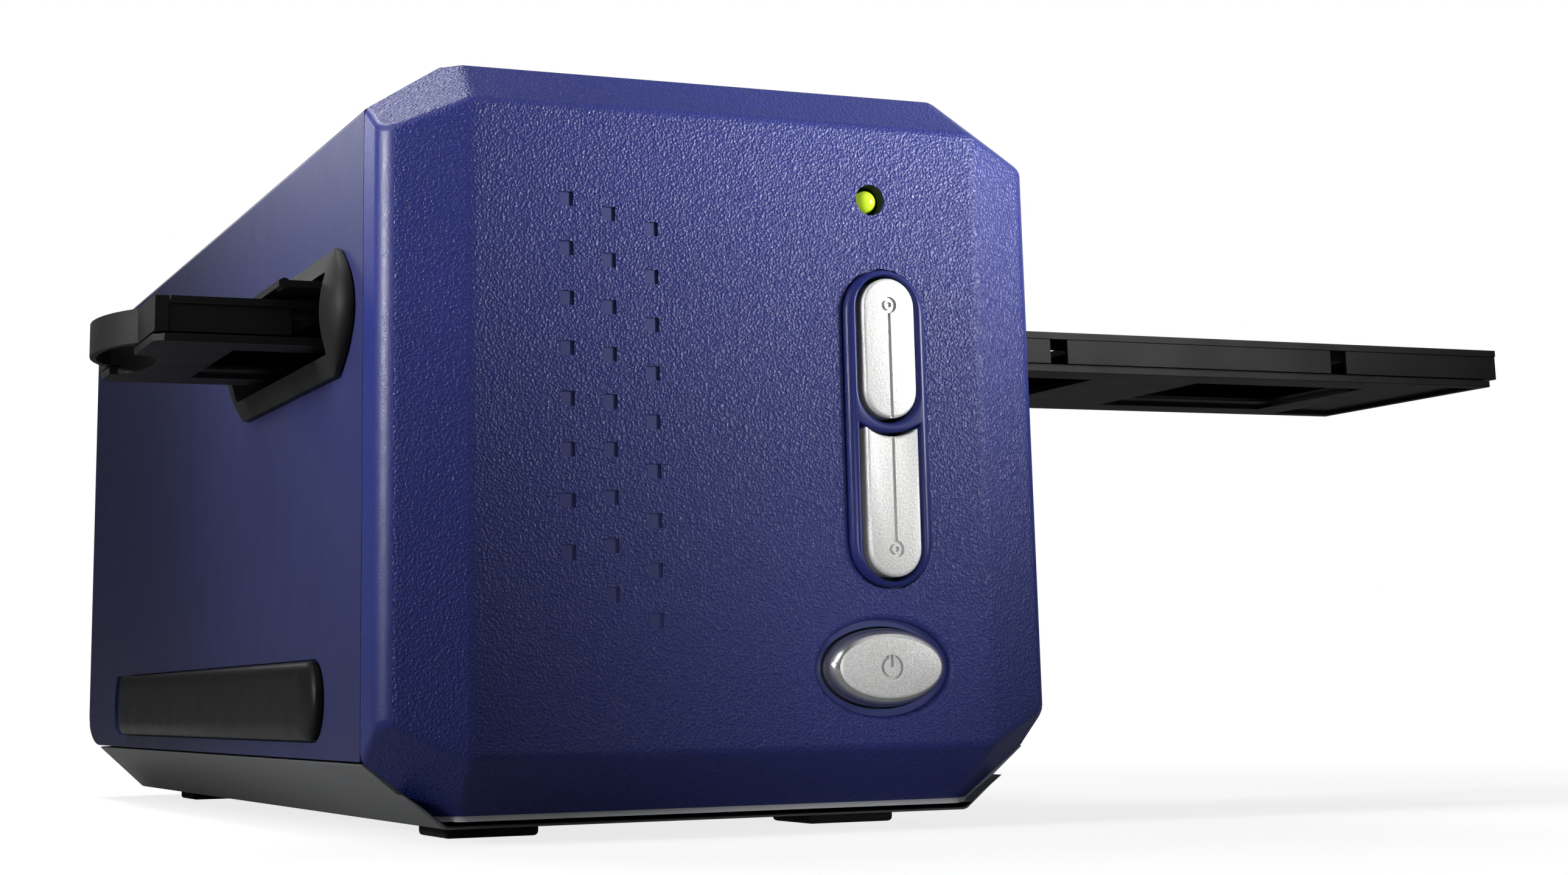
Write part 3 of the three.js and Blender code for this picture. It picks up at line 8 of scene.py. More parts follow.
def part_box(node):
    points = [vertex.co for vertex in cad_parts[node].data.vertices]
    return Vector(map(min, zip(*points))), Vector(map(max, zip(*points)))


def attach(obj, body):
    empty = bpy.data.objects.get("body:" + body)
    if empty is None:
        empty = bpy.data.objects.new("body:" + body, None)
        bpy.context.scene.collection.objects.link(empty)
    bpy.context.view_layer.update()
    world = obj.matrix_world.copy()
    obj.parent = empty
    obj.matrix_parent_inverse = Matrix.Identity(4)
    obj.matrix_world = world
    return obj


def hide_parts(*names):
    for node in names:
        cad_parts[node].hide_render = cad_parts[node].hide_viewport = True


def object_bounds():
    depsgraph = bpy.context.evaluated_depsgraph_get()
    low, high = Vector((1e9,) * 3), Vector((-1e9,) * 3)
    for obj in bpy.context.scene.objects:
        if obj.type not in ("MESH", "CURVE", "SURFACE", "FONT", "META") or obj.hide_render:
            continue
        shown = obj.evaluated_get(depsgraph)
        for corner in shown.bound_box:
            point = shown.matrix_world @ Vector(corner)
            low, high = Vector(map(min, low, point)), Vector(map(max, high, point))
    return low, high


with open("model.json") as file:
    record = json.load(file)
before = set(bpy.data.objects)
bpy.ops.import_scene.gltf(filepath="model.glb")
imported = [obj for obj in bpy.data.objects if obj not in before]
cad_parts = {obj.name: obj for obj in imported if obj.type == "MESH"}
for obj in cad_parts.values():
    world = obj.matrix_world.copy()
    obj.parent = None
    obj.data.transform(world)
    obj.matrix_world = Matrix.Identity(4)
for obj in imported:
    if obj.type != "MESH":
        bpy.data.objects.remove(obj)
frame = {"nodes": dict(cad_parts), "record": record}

cad_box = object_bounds()
MM = 0.001

# Camera
# A long lens a little above table height, in front of the scanner and left of it.
# The whole frame is cut from a wider picture, so the lens is shifted.
frame_width = 2576
frame_height = 1438
focal_pixels = 4108
lens_axis_x = 1171
lens_axis_y = 362
sensor_width = 36
camera_place = Vector((-150.1, -488.2, 18.6)) * MM
camera_heading = math.radians(22.67)
camera_pitch = math.radians(10.76)
camera_roll = math.radians(-1.13)

camera_data = bpy.data.cameras.new("camera")
camera_data.sensor_width = sensor_width
camera_data.lens = focal_pixels * sensor_width / frame_width
camera_data.shift_x = (frame_width / 2 - lens_axis_x) / frame_width
camera_data.shift_y = (lens_axis_y - frame_height / 2) / frame_width
camera_data.clip_start = 10 * MM
camera_data.clip_end = 20
camera = bpy.data.objects.new("camera", camera_data)
bpy.context.scene.collection.objects.link(camera)
camera_turn = (
    Matrix.Rotation(-camera_heading, 4, "Z")
    @ Matrix.Rotation(math.pi / 2 + camera_pitch, 4, "X")
    @ Matrix.Rotation(camera_roll, 4, "Z")
)
camera.matrix_world = Matrix.Translation(camera_place) @ camera_turn
bpy.context.scene.camera = camera

# Base tray
# The silver grey bottom of the case, moulded in one piece with sloped sides.
# Its outer edges are rounded, and it is sprayed with a fine metallic lacquer.
weld_distance = 0.001 * MM
flat_degrees = 0.4
rounded_from_degrees = 12
base_round = 1 * MM
base_side_from = 40 * MM
base_front_band = 1 * MM
base_rear_band = 6 * MM
base_slope_top = 10 * MM
long_edge = 8 * MM
eased_share = 0.15


def start_finish(name, colour, roughness, metallic=0.0, specular=0.5):
    """A material whose shader holds the plain values"""
    finish = bpy.data.materials.new(name)
    finish.use_nodes = True
    shader = finish.node_tree.nodes["Principled BSDF"]
    shader.inputs["Base Color"].default_value = (*colour, 1)
    shader.inputs["Roughness"].default_value = roughness
    shader.inputs["Metallic"].default_value = metallic
    shader.inputs["Specular IOR Level"].default_value = specular
    return finish


def noise_on(finish, size, detail):
    """Noise in the object's own coordinates, with features of about that size"""
    nodes = finish.node_tree.nodes
    place = nodes.new("ShaderNodeTexCoord")
    noise = nodes.new("ShaderNodeTexNoise")
    noise.inputs["Scale"].default_value = 1 / size
    noise.inputs["Detail"].default_value = detail
    finish.node_tree.links.new(place.outputs["Object"], noise.inputs["Vector"])
    return noise


def add_bump(finish, height_output, height):
    """Bumps from a height, laid over those that the finish already has"""
    nodes = finish.node_tree.nodes
    links = finish.node_tree.links
    bump = nodes.new("ShaderNodeBump")
    bump.inputs["Distance"].default_value = height
    links.new(height_output, bump.inputs["Height"])
    last = nodes["Principled BSDF"].inputs["Normal"]
    if last.is_linked:
        links.new(last.links[0].from_socket, bump.inputs["Normal"])
    links.new(bump.outputs["Normal"], last)


def add_grain(finish, size, height, detail=2):
    """Fine even bumps, as moulded or sprayed plastic has"""
    add_bump(finish, noise_on(finish, size, detail).outputs["Fac"], height)


def vary_colour(finish, colour, other, size, detail=2):
    """Soft drifts between two near colours"""
    nodes = finish.node_tree.nodes
    links = finish.node_tree.links
    noise = noise_on(finish, size, detail)
    ramp = nodes.new("ShaderNodeValToRGB")
    ramp.color_ramp.elements[0].position = 0.35
    ramp.color_ramp.elements[0].color = (*colour, 1)
    ramp.color_ramp.elements[1].position = 0.65
    ramp.color_ramp.elements[1].color = (*other, 1)
    links.new(noise.outputs["Fac"], ramp.inputs["Fac"])
    links.new(ramp.outputs["Color"], nodes["Principled BSDF"].inputs["Base Color"])


def body_of_node(node):
    """The body that the record puts this node on"""
    for body, members in frame["record"]["behaviour"]["bodies"].items():
        if node in members:
            return body


def add_piece(name, form, node, finish, sharp_degrees=35):
    """A finished mesh that stands in the place of one node and moves with its body"""
    bmesh.ops.recalc_face_normals(form, faces=form.faces)
    mesh = bpy.data.meshes.new(name)
    form.to_mesh(mesh)
    form.free()
    mesh.shade_smooth()
    mesh.set_sharp_from_angle(angle=math.radians(sharp_degrees))
    mesh.materials.append(finish)
    piece = bpy.data.objects.new(name, mesh)
    bpy.context.scene.collection.objects.link(piece)
    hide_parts(node)
    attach(piece, body_of_node(node))
    return piece


def even_normals(piece):
    """Flat faces stay flat in the light, and only their rounded edges turn"""
    normals = piece.modifiers.new("even_normals", "WEIGHTED_NORMAL")
    normals.keep_sharp = True
    normals.weight = 100


def solid_form(node):
    """The node's own solid with its flat faces whole again"""
    form = bmesh.new()
    form.from_mesh(frame["nodes"][node].data)
    bmesh.ops.remove_doubles(form, verts=form.verts, dist=weld_distance)
    bmesh.ops.dissolve_limit(
        form, angle_limit=math.radians(flat_degrees), verts=form.verts, edges=form.edges,
        delimit=set(),
    )
    return form


def round_piece(name, node, finish, width, share, steps=3, sharp_degrees=35, change=None):
    """The node's solid with each sharp edge rounded by its share of the width"""
    form = solid_form(node)
    if change:
        change(form)
    weights = form.edges.layers.float.new("bevel_weight_edge")
    for edge in form.edges:
        between_two = len(edge.link_faces) == 2
        if between_two and edge.calc_face_angle() > math.radians(rounded_from_degrees):
            edge[weights] = share(edge)
    piece = add_piece(name, form, node, finish, sharp_degrees)
    rounding = piece.modifiers.new("rounded_edges", "BEVEL")
    rounding.limit_method = "WEIGHT"
    rounding.width = width
    rounding.segments = steps
    rounding.use_clamp_overlap = True
    even_normals(piece)
    return piece


def middle_of(edge):
    return (edge.verts[0].co + edge.verts[1].co) / 2


# Painted shade: this silver is painted dark grey, as the tray's sloped sides look in shade, not the
# tray's own mid silver
shaded_silver_lacquer = start_finish("shaded_silver_lacquer", (0.16, 0.165, 0.17), 0.42, 0.3, 0.3)
vary_colour(shaded_silver_lacquer, (0.155, 0.160, 0.165), (0.170, 0.175, 0.18), 30 * MM)
add_grain(shaded_silver_lacquer, 0.35 * MM, 0.02 * MM)
base_low, base_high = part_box("base_tray")


def base_edge_share(edge):
    """Long outer edges are round, and the rest are only eased"""
    place = middle_of(edge)
    outer = (
        abs(place.x) > base_side_from
        or place.y < base_low.y + base_front_band
        or place.y > base_high.y - base_rear_band
    )
    low = place.z < base_slope_top
    return 1 if outer and low and edge.calc_length() > long_edge else eased_share


round_piece("base_shell", "base_tray", shaded_silver_lacquer, base_round, base_edge_share)

# Feet
# Four square pads of black rubber, each cut from sheet and glued into a shallow pocket
# under the base.
foot_round = 0.7 * MM


def vary_roughness(finish, low, high, size):
    """Patches that are a little smoother or duller"""
    nodes = finish.node_tree.nodes
    links = finish.node_tree.links
    noise = noise_on(finish, size, 3)
    spread = nodes.new("ShaderNodeMapRange")
    spread.inputs["From Min"].default_value = 0.3
    spread.inputs["From Max"].default_value = 0.7
    spread.inputs["To Min"].default_value = low
    spread.inputs["To Max"].default_value = high
    links.new(noise.outputs["Fac"], spread.inputs["Value"])
    links.new(spread.outputs["Result"], nodes["Principled BSDF"].inputs["Roughness"])


def every_edge(edge):
    """The same rounding all over"""
    return 1


foot_rubber = start_finish("foot_rubber", (0.010, 0.010, 0.011), 0.75, 0.0, 0.3)
add_grain(foot_rubber, 0.5 * MM, 0.05 * MM)
vary_roughness(foot_rubber, 0.7, 0.82, 3 * MM)
for foot in ("foot_front_left", "foot_front_right", "foot_rear_left", "foot_rear_right"):
    round_piece(f"{foot}_pad", foot, foot_rubber, foot_round, every_edge)

# Works inside
# Pressed steel chassis on four screws, two ground rods, a lead screw and bushes of brass,
# and a black carriage with the lamp, mirror, lens and line sensor.


def dress(node, finish):
    """Puts a finish on a piece that stays as the frame gives it"""
    piece = frame["nodes"][node]
    piece.data.materials.clear()
    piece.data.materials.append(finish)


plain_steel = start_finish("plain_steel", (0.55, 0.56, 0.57), 0.35, 1.0)
vary_roughness(plain_steel, 0.28, 0.45, 6 * MM)
turned_brass = start_finish("turned_brass", (0.60, 0.46, 0.20), 0.3, 1.0)
vary_roughness(turned_brass, 0.22, 0.4, 2 * MM)
inner_black = start_finish("inner_black", (0.02, 0.02, 0.021), 0.6)
add_grain(inner_black, 0.6 * MM, 0.03 * MM)
solder_green = start_finish("solder_green", (0.015, 0.12, 0.05), 0.4)
vary_colour(solder_green, (0.012, 0.11, 0.045), (0.02, 0.15, 0.07), 4 * MM)
lamp_white = start_finish("lamp_white", (0.85, 0.85, 0.82), 0.5)
vary_roughness(lamp_white, 0.45, 0.6, 5 * MM)
clear_glass = start_finish("clear_glass", (0.9, 0.95, 0.95), 0.03)
clear_glass.node_tree.nodes["Principled BSDF"].inputs["Transmission Weight"].default_value = 1
vary_roughness(clear_glass, 0.02, 0.05, 8 * MM)
steel_nodes = (
    "chassis", "guide_rod_left", "guide_rod_right", "lead_screw", "stepper_motor",
    "base_screw_front_left", "base_screw_front_right", "base_screw_rear_left",
    "base_screw_rear_right", "holder_detent_spring", "door_pin_left", "door_pin_right",
    "door_spring_left", "door_spring_right", "usb_socket",
)
brass_nodes = (
    "screw_bush", "drive_nut", "slide_bush_front_left", "slide_bush_rear_left", "slide_bush_right",
)
black_nodes = (
    "carriage_deck", "carriage_post", "lamp_arm", "lens_barrel", "line_sensor", "film_stage",
    "light_mask", "upper_button_switch", "lower_button_switch", "power_switch", "dc_jack",
)
for nodes_of_kind, kind in (
    (steel_nodes, plain_steel), (brass_nodes, turned_brass), (black_nodes, inner_black),
    (("main_board", "sensor_board", "lamp_board", "button_board"), solder_green),
    (("lamp_diffuser",), lamp_white), (("fold_mirror", "lens_glass"), clear_glass),
):
    for node in nodes_of_kind:
        dress(node, kind)

# Housing
# The blue sleeve that makes the sides, top and rear, moulded in one piece of ABS.
# It is lacquered in deep blue over a fine moulded grain, with soft long edges.
fine_blue = start_finish("fine_blue", (0.022, 0.026, 0.100), 0.45, 0.0, 0.3)
vary_colour(fine_blue, (0.021, 0.025, 0.096), (0.023, 0.027, 0.104), 25 * MM)
vary_roughness(fine_blue, 0.44, 0.47, 8 * MM)
add_grain(fine_blue, 0.4 * MM, 0.012 * MM)
housing_low, housing_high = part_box("housing")
housing_round = 1.6 * MM
housing_skin = 0.5 * MM
lengthwise = 0.99
top_edge_length = 100 * MM
top_edge_from = 100 * MM
housing_rear_band = 1 * MM
housing_front_band = 0.2 * MM
rear_share = 0.8
opening_share = 0.1
panel_round = 0.4 * MM


def housing_edge_share(edge):
    """The long upper edges are softest, the rear ones less, and the openings stay crisp"""
    place = middle_of(edge)
    along = (edge.verts[0].co - edge.verts[1].co).normalized()
    outer = abs(place.x) > housing_high.x - housing_skin or place.z > housing_high.z - housing_skin
    whole_length = abs(along.y) > lengthwise and edge.calc_length() > top_edge_length
    if whole_length and place.z > top_edge_from and outer:
        return 1
    if place.y > housing_high.y - housing_rear_band and outer:
        return rear_share
    if place.y < housing_low.y + housing_front_band:
        return eased_share
    return opening_share


round_piece("housing_sleeve", "housing", fine_blue, housing_round, housing_edge_share, 4)
# The rear panel takes the tray's silver with its painted shade
round_piece("rear_socket_panel", "rear_panel", shaded_silver_lacquer, panel_round, every_edge, 2)

# Slot frames
# Black collars pressed into the slots of the housing, moulded in satin ABS.
# Their faces swell softly from a thin edge to a crown beside the opening.
satin_black = start_finish("satin_black", (0.007, 0.007, 0.0072), 0.6, 0.0, 0.2)
vary_roughness(satin_black, 0.57, 0.63, 8 * MM)
add_grain(satin_black, 0.3 * MM, 0.02 * MM)
frame_edge_thick = 0.8 * MM
fit_gap = 0.3 * MM
slot_front_y = -110.8 * MM
slot_rear_y = -44.8 * MM
slot_low_z = 71.6 * MM
slot_high_z = 84.6 * MM
slot_corner_round = 0.8 * MM
slot_reach = 10 * MM
frame_end_bulge = 8.6 * MM
frame_crest_inset = 1 * MM
neck_wall = 1 * MM
neck_depth = 8 * MM


def box_form(low, high):
    """A plain block between two corners"""
    form = bmesh.new()
    bmesh.ops.create_cube(form, size=1)
    for vert in form.verts:
        vert.co = Vector(low[i] if vert.co[i] < 0 else high[i] for i in range(3))
    return form


def scratch_object(form):
    """A passing object that the next cut needs and that is deleted after it"""
    mesh = bpy.data.meshes.new("scratch")
    bmesh.ops.recalc_face_normals(form, faces=form.faces)
    form.to_mesh(mesh)
    form.free()
    scratch = bpy.data.objects.new("scratch", mesh)
    bpy.context.scene.collection.objects.link(scratch)
    return scratch


def carve(form, cutters, operation="DIFFERENCE"):
    """The form with the cutters' forms taken out of it, joined to it, or kept where they meet"""
    body = scratch_object(form)
    helpers = [scratch_object(cutter) for cutter in cutters]
    for helper in helpers:
        step = body.modifiers.new("carve", "BOOLEAN")
        step.operation = operation
        step.solver = "EXACT"
        step.object = helper
    shaped = body.evaluated_get(bpy.context.evaluated_depsgraph_get()).to_mesh()
    result = bmesh.new()
    result.from_mesh(shaped)
    body.to_mesh_clear()
    for used in [body, *helpers]:
        used_mesh = used.data
        bpy.data.objects.remove(used)
        bpy.data.meshes.remove(used_mesh)
    bmesh.ops.remove_doubles(result, verts=result.verts, dist=weld_distance)
    return result


def loft(rings):
    """Skin between rings of the same count of points, with both ends filled"""
    form = bmesh.new()
    loops = [[form.verts.new(point) for point in ring] for ring in rings]
    count = len(loops[0])
    for before, after in zip(loops, loops[1:]):
        for i in range(count):
            j = (i + 1) % count
            form.faces.new((before[i], before[j], after[j], after[i]))
    form.faces.new(loops[0])
    form.faces.new(loops[-1])
    return form


def pillow_form(side, node):
    """The collar's swelled face as rows from its low edge to its high edge"""
    low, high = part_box(node)
    wall_x = housing_high.x + fit_gap
    edge_x = wall_x + frame_edge_thick
    crown_x = max(abs(low.x), abs(high.x))
    front_corner = low.y + frame_end_bulge
    rear_corner = high.y - frame_end_bulge
    middle_z = (low.z + high.z) / 2
    half_height = (high.z - low.z) / 2
    rows = 24
    steps = 10
    form = bmesh.new()
    grid = []
    for i in range(rows + 1):
        share = 2 * i / rows - 1
        crown = 1 - share * share
        row = []
        for corner, way, order in ((front_corner, -1, 1), (rear_corner, 1, -1)):
            end_y = corner + way * frame_end_bulge * crown
            crest_y = corner - way * frame_crest_inset
            part = []
            for j in range(steps + 1):
                run = j / steps
                rise = crown * math.sqrt(1 - (1 - run) ** 2)
                part.append(Vector((
                    side * (edge_x + (crown_x - edge_x) * rise),
                    end_y + (crest_y - end_y) * run,
                    middle_z + share * half_height,
                )))
            row += part[::order]
        grid.append([form.verts.new(point) for point in row])
    for before, after in zip(grid, grid[1:]):
        for j in range(len(before) - 1):
            form.faces.new((before[j], before[j + 1], after[j + 1], after[j]))
    rim = (
        grid[0] + [row[-1] for row in grid[1:-1]]
        + grid[-1][::-1] + [row[0] for row in grid[-2:0:-1]]
    )
    back = [form.verts.new((side * wall_x, vert.co.y, vert.co.z)) for vert in rim]
    for i in range(len(rim)):
        j = (i + 1) % len(rim)
        form.faces.new((rim[i], rim[j], back[j], back[i]))
    form.faces.new(back)
    return form


def rounded_rectangle(low_a, high_a, low_b, high_b, radius, steps=4):
    """Points round a rectangle with round corners"""
    points = []
    for a, b, start in (
        (high_a - radius, high_b - radius, 0), (low_a + radius, high_b - radius, 1),
        (low_a + radius, low_b + radius, 2), (high_a - radius, low_b + radius, 3),
    ):
        for i in range(steps + 1):
            angle = math.pi / 2 * (start + i / steps)
            points.append((a + radius * math.cos(angle), b + radius * math.sin(angle)))
    return points


def slot_passage(side):
    """Block through the whole slot, with round corners"""
    outline = rounded_rectangle(slot_front_y, slot_rear_y, slot_low_z, slot_high_z, slot_corner_round)
    ends = (housing_high.x - 2 * neck_depth, housing_high.x + slot_reach)
    return loft([[(side * x, y, z) for y, z in outline] for x in ends])


neck_inner_x = housing_high.x - neck_depth
neck_outer_x = housing_high.x + fit_gap + frame_edge_thick / 2
for side, word in ((-1, "left"), (1, "right")):
    node = f"slot_frame_{word}"
    neck_low_x, neck_high_x = sorted((side * neck_inner_x, side * neck_outer_x))
    neck = box_form(
        (neck_low_x, slot_front_y - neck_wall, slot_low_z - neck_wall),
        (neck_high_x, slot_rear_y + neck_wall, slot_high_z + neck_wall),
    )
    joined = carve(pillow_form(side, node), [neck], "UNION")
    add_piece(f"slot_collar_{word}", carve(joined, [slot_passage(side)]), node, satin_black, 40)

# Dust doors
# Thin black flaps on steel pins at the top of each slot, with a wound spring each.
# The holder pushes the left one outwards, so it lies over the holder in the slot.
door_round = 0.25 * MM
for word in ("left", "right"):
    round_piece(
        f"door_flap_{word}", f"dust_door_{word}", satin_black, door_round, every_edge, 2, 40,
    )

# Film holder
# A long black holder of three mouldings: base plate, frame with the bays, and cover.
# They snap together, which leaves a fine groove all round and a line under the cover.
closing = 0.29 * MM
holder_round = 0.22 * MM
same_level = 0.01 * MM


def close_gaps(form):
    """The middle moulding's faces meet the plate below and the lid above"""
    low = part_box("holder_frame")[0].z
    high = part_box("holder_cover")[0].z - fit_gap
    for vert in form.verts:
        if abs(vert.co.z - low) < same_level:
            vert.co.z -= closing
        elif abs(vert.co.z - high) < same_level:
            vert.co.z += closing


for name, node, change in (
    ("holder_plate", "holder_base", None), ("holder_bays", "holder_frame", close_gaps),
    ("holder_lid", "holder_cover", None),
):
    round_piece(name, node, satin_black, holder_round, every_edge, 2, 40, change)

# Side pads
# Long crowned strips of soft black rubber, glued into shallow recesses in both sides.
pad_rubber = start_finish("pad_rubber", (0.006, 0.006, 0.0065), 0.42, 0.0, 0.2)
add_grain(pad_rubber, 0.5 * MM, 0.02 * MM)
vary_roughness(pad_rubber, 0.40, 0.45, 5 * MM)
pad_front_bulge = 7 * MM
pad_rear_bulge = 16 * MM
pad_edge_round = 2.6 * MM
pad_upright_share = 0.35
pad_steps = 8
pad_end_steps = 16


def flat_arc(start, end, bulge, steps):
    """Points of an arc from start to end that bulges to the right of its way"""
    run = Vector((end[0] - start[0], end[1] - start[1]))
    chord = run.length
    along = run / chord
    radius = (chord * chord / 4 + bulge * bulge) / (2 * bulge)
    spread = math.asin(chord / (2 * radius))
    points = []
    for i in range(steps + 1):
        angle = spread * (2 * i / steps - 1)
        forward = chord / 2 + radius * math.sin(angle)
        out = radius * (math.cos(angle) - math.cos(spread))
        points.append((
            start[0] + along[0] * forward + along[1] * out,
            start[1] + along[1] * forward - along[0] * out,
        ))
    return points


def pad_outline(low, high, inset):
    """The pad's outline in y and z, drawn in by the inset"""
    front = low.y + pad_front_bulge + inset
    rear = high.y - pad_rear_bulge - inset
    bottom = low.z + inset
    top = high.z - inset
    return (
        flat_arc((rear, bottom), (rear, top), pad_rear_bulge, pad_end_steps)
        + flat_arc((front, top), (front, bottom), pad_front_bulge, pad_end_steps)
    )


for side, word in ((-1, "left"), (1, "right")):
    low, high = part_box(f"side_pad_{word}")
    inner_x = min(abs(low.x), abs(high.x))
    outer_x = max(abs(low.x), abs(high.x))
    crown = outer_x - inner_x
    rings = [[(side * inner_x, y, z) for y, z in pad_outline(low, high, 0)]]
    for i in range(pad_steps + 1):
        angle = math.pi / 2 * i / pad_steps
        inset = pad_edge_round * (1 - math.cos(angle))
        x = inner_x + crown * (pad_upright_share + (1 - pad_upright_share) * math.sin(angle))
        rings.append([(side * x, y, z) for y, z in pad_outline(low, high, inset)])
    add_piece(f"side_strip_{word}", loft(rings), f"side_pad_{word}", pad_rubber, 50)

# Front bezel
# The deep blue front cover, a flat face with four sloped sides, moulded in ABS.
# Its face and slopes have a coarse leather grain, and three columns of square dimples.
coarse_blue = start_finish("coarse_blue", (0.017, 0.023, 0.135), 0.42, 0.0, 0.3)
vary_colour(coarse_blue, (0.021, 0.029, 0.165), (0.023, 0.031, 0.175), 25 * MM)
vary_roughness(coarse_blue, 0.34, 0.44, 0.8 * MM)
wrinkle_size = 0.40 * MM
wrinkle_height = 0.15 * MM
wrinkle_warp = 0.0005
wrinkle_softness = 0.4
warp_to_wrinkle = 1.5
painted_groove_shade = (0.7, 0.7, 0.75)
groove_edge = 0.55
groove_floor = 0.15
full_grain_below = 0.5
least_grain_above = 0.62
least_grain = 0.12


def add_leather(finish, size, height):
    """Leather grain: soft cells warped by noise, with painted shade darkening the grooves.
    What faces sideways, the two side slopes too, gets only a little of it."""
    nodes = finish.node_tree.nodes
    links = finish.node_tree.links
    warp = noise_on(finish, size * warp_to_wrinkle, 2)
    place = nodes.new("ShaderNodeTexCoord")
    mix = nodes.new("ShaderNodeMix")
    mix.data_type = "VECTOR"
    mix.inputs["Factor"].default_value = wrinkle_warp
    links.new(place.outputs["Object"], mix.inputs["A"])
    links.new(warp.outputs["Color"], mix.inputs["B"])
    cells = nodes.new("ShaderNodeTexVoronoi")
    cells.feature = "SMOOTH_F1"
    cells.inputs["Scale"].default_value = 1 / size
    cells.inputs["Smoothness"].default_value = wrinkle_softness
    links.new(mix.outputs["Result"], cells.inputs["Vector"])
    surface = nodes.new("ShaderNodeNewGeometry")
    axes = nodes.new("ShaderNodeSeparateXYZ")
    front = nodes.new("ShaderNodeMapRange")
    front.inputs["From Min"].default_value = least_grain_above
    front.inputs["From Max"].default_value = full_grain_below
    front.inputs["To Min"].default_value = least_grain
    front.inputs["To Max"].default_value = 1
    deep = nodes.new("ShaderNodeMath")
    deep.operation = "MULTIPLY"
    links.new(surface.outputs["True Normal"], axes.inputs["Vector"])
    sideways = nodes.new("ShaderNodeMath")
    sideways.operation = "ABSOLUTE"
    links.new(axes.outputs["X"], sideways.inputs[0])
    links.new(sideways.outputs["Value"], front.inputs["Value"])
    links.new(front.outputs["Result"], deep.inputs[0])
    links.new(cells.outputs["Distance"], deep.inputs[1])
    add_bump(finish, deep.outputs["Value"], height)
    shader = nodes["Principled BSDF"]
    # Painted shade: the base colour is darkened in the grooves between the cells
    ground = nodes.new("ShaderNodeMix")
    ground.data_type = "RGBA"
    ground.blend_type = "MULTIPLY"
    ground.inputs["B"].default_value = (*painted_groove_shade, 1)
    groove = nodes.new("ShaderNodeMapRange")
    groove.inputs["From Min"].default_value = groove_edge
    groove.inputs["From Max"].default_value = groove_floor
    links.new(cells.outputs["Distance"], groove.inputs["Value"])
    links.new(groove.outputs["Result"], ground.inputs["Factor"])
    links.new(shader.inputs["Base Color"].links[0].from_socket, ground.inputs["A"])
    links.new(ground.outputs["Result"], shader.inputs["Base Color"])


add_leather(coarse_blue, wrinkle_size, wrinkle_height)
add_grain(coarse_blue, 0.25 * MM, 0.02 * MM)
# Painted light: the dimple floors are painted lighter than the face, as if well lit by the soft lamps
lit_dimple_blue = start_finish("lit_dimple_blue", (0.036, 0.044, 0.170), 0.4, 0.0, 0.4)
vary_colour(lit_dimple_blue, (0.034, 0.042, 0.165), (0.038, 0.046, 0.175), 3 * MM)
add_grain(lit_dimple_blue, 0.3 * MM, 0.01 * MM)
# Painted light: the tray's silver on the lip below the cover is painted much lighter than the base's
# own, as its lit front looks
lit_lip_silver = start_finish("lit_lip_silver", (0.62, 0.63, 0.64), 0.4, 0.2, 0.5)
vary_colour(lit_lip_silver, (0.60, 0.61, 0.62), (0.64, 0.65, 0.66), 6 * MM)
add_grain(lit_lip_silver, 0.35 * MM, 0.01 * MM)
bezel_low, bezel_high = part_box("front_bezel")
power_low, power_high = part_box("power_button")
power_place = (power_low + power_high) / 2
solid_floor_y = bezel_low.y + 0.8 * MM
dimple_depth = 0.42 * MM
recess_depth = 1.5 * MM
recess_half_width = 11.3 * MM
recess_half_height = 7.3 * MM
recess_rim = 1 * MM
solid_recess_half_width = 11.38 * MM
solid_recess_half_height = 7.38 * MM
recess_margin = 1.02
lip_height = 0.8 * MM
corner_round = 3 * MM
slope_round = 0.9 * MM
hull_flat_degrees = 2
slope_degrees = 14
side_band = 0.5 * MM
side_edge_length = 50 * MM
side_back_band = 1 * MM
back_band = 0.2 * MM
oval_steps = 96
cut_overshoot = 1 * MM
lip_margin = 0.05 * MM
relief_near = 0.1 * MM
relief_far = 3 * MM
facing_front = -0.99
dimple_index = 1
lip_index = 2


def quarter_round(steps=6):
    """Pairs of shares along a quarter circle: across from 0 to 1, and down from 1 to 0"""
    angles = [math.pi / 2 * i / steps for i in range(steps + 1)]
    return [(1 - math.cos(angle), 1 - math.sin(angle)) for angle in angles]


def oval(x, z, half_width, half_height, steps):
    """Points round an upright oval, in x and z"""
    turns = [2 * math.pi * i / steps for i in range(steps)]
    return [(x + half_width * math.cos(turn), z + half_height * math.sin(turn)) for turn in turns]


def ring_at(outline, y):
    """An outline in x and z as points at one depth"""
    return [(x, y, z) for x, z in outline]


def in_recess(place):
    """Whether a point lies in the oval recess round the power button"""
    across = (place.x - power_place.x) / solid_recess_half_width
    up = (place.z - power_place.z) / solid_recess_half_height
    return math.hypot(across, up) < recess_margin


def round_edges(form, edges, width, steps):
    """Rounds these edges of a form"""
    bmesh.ops.bevel(
        form, geom=edges, offset=width, offset_type="OFFSET", segments=steps, profile=0.5,
        affect="EDGES", clamp_overlap=True,
    )


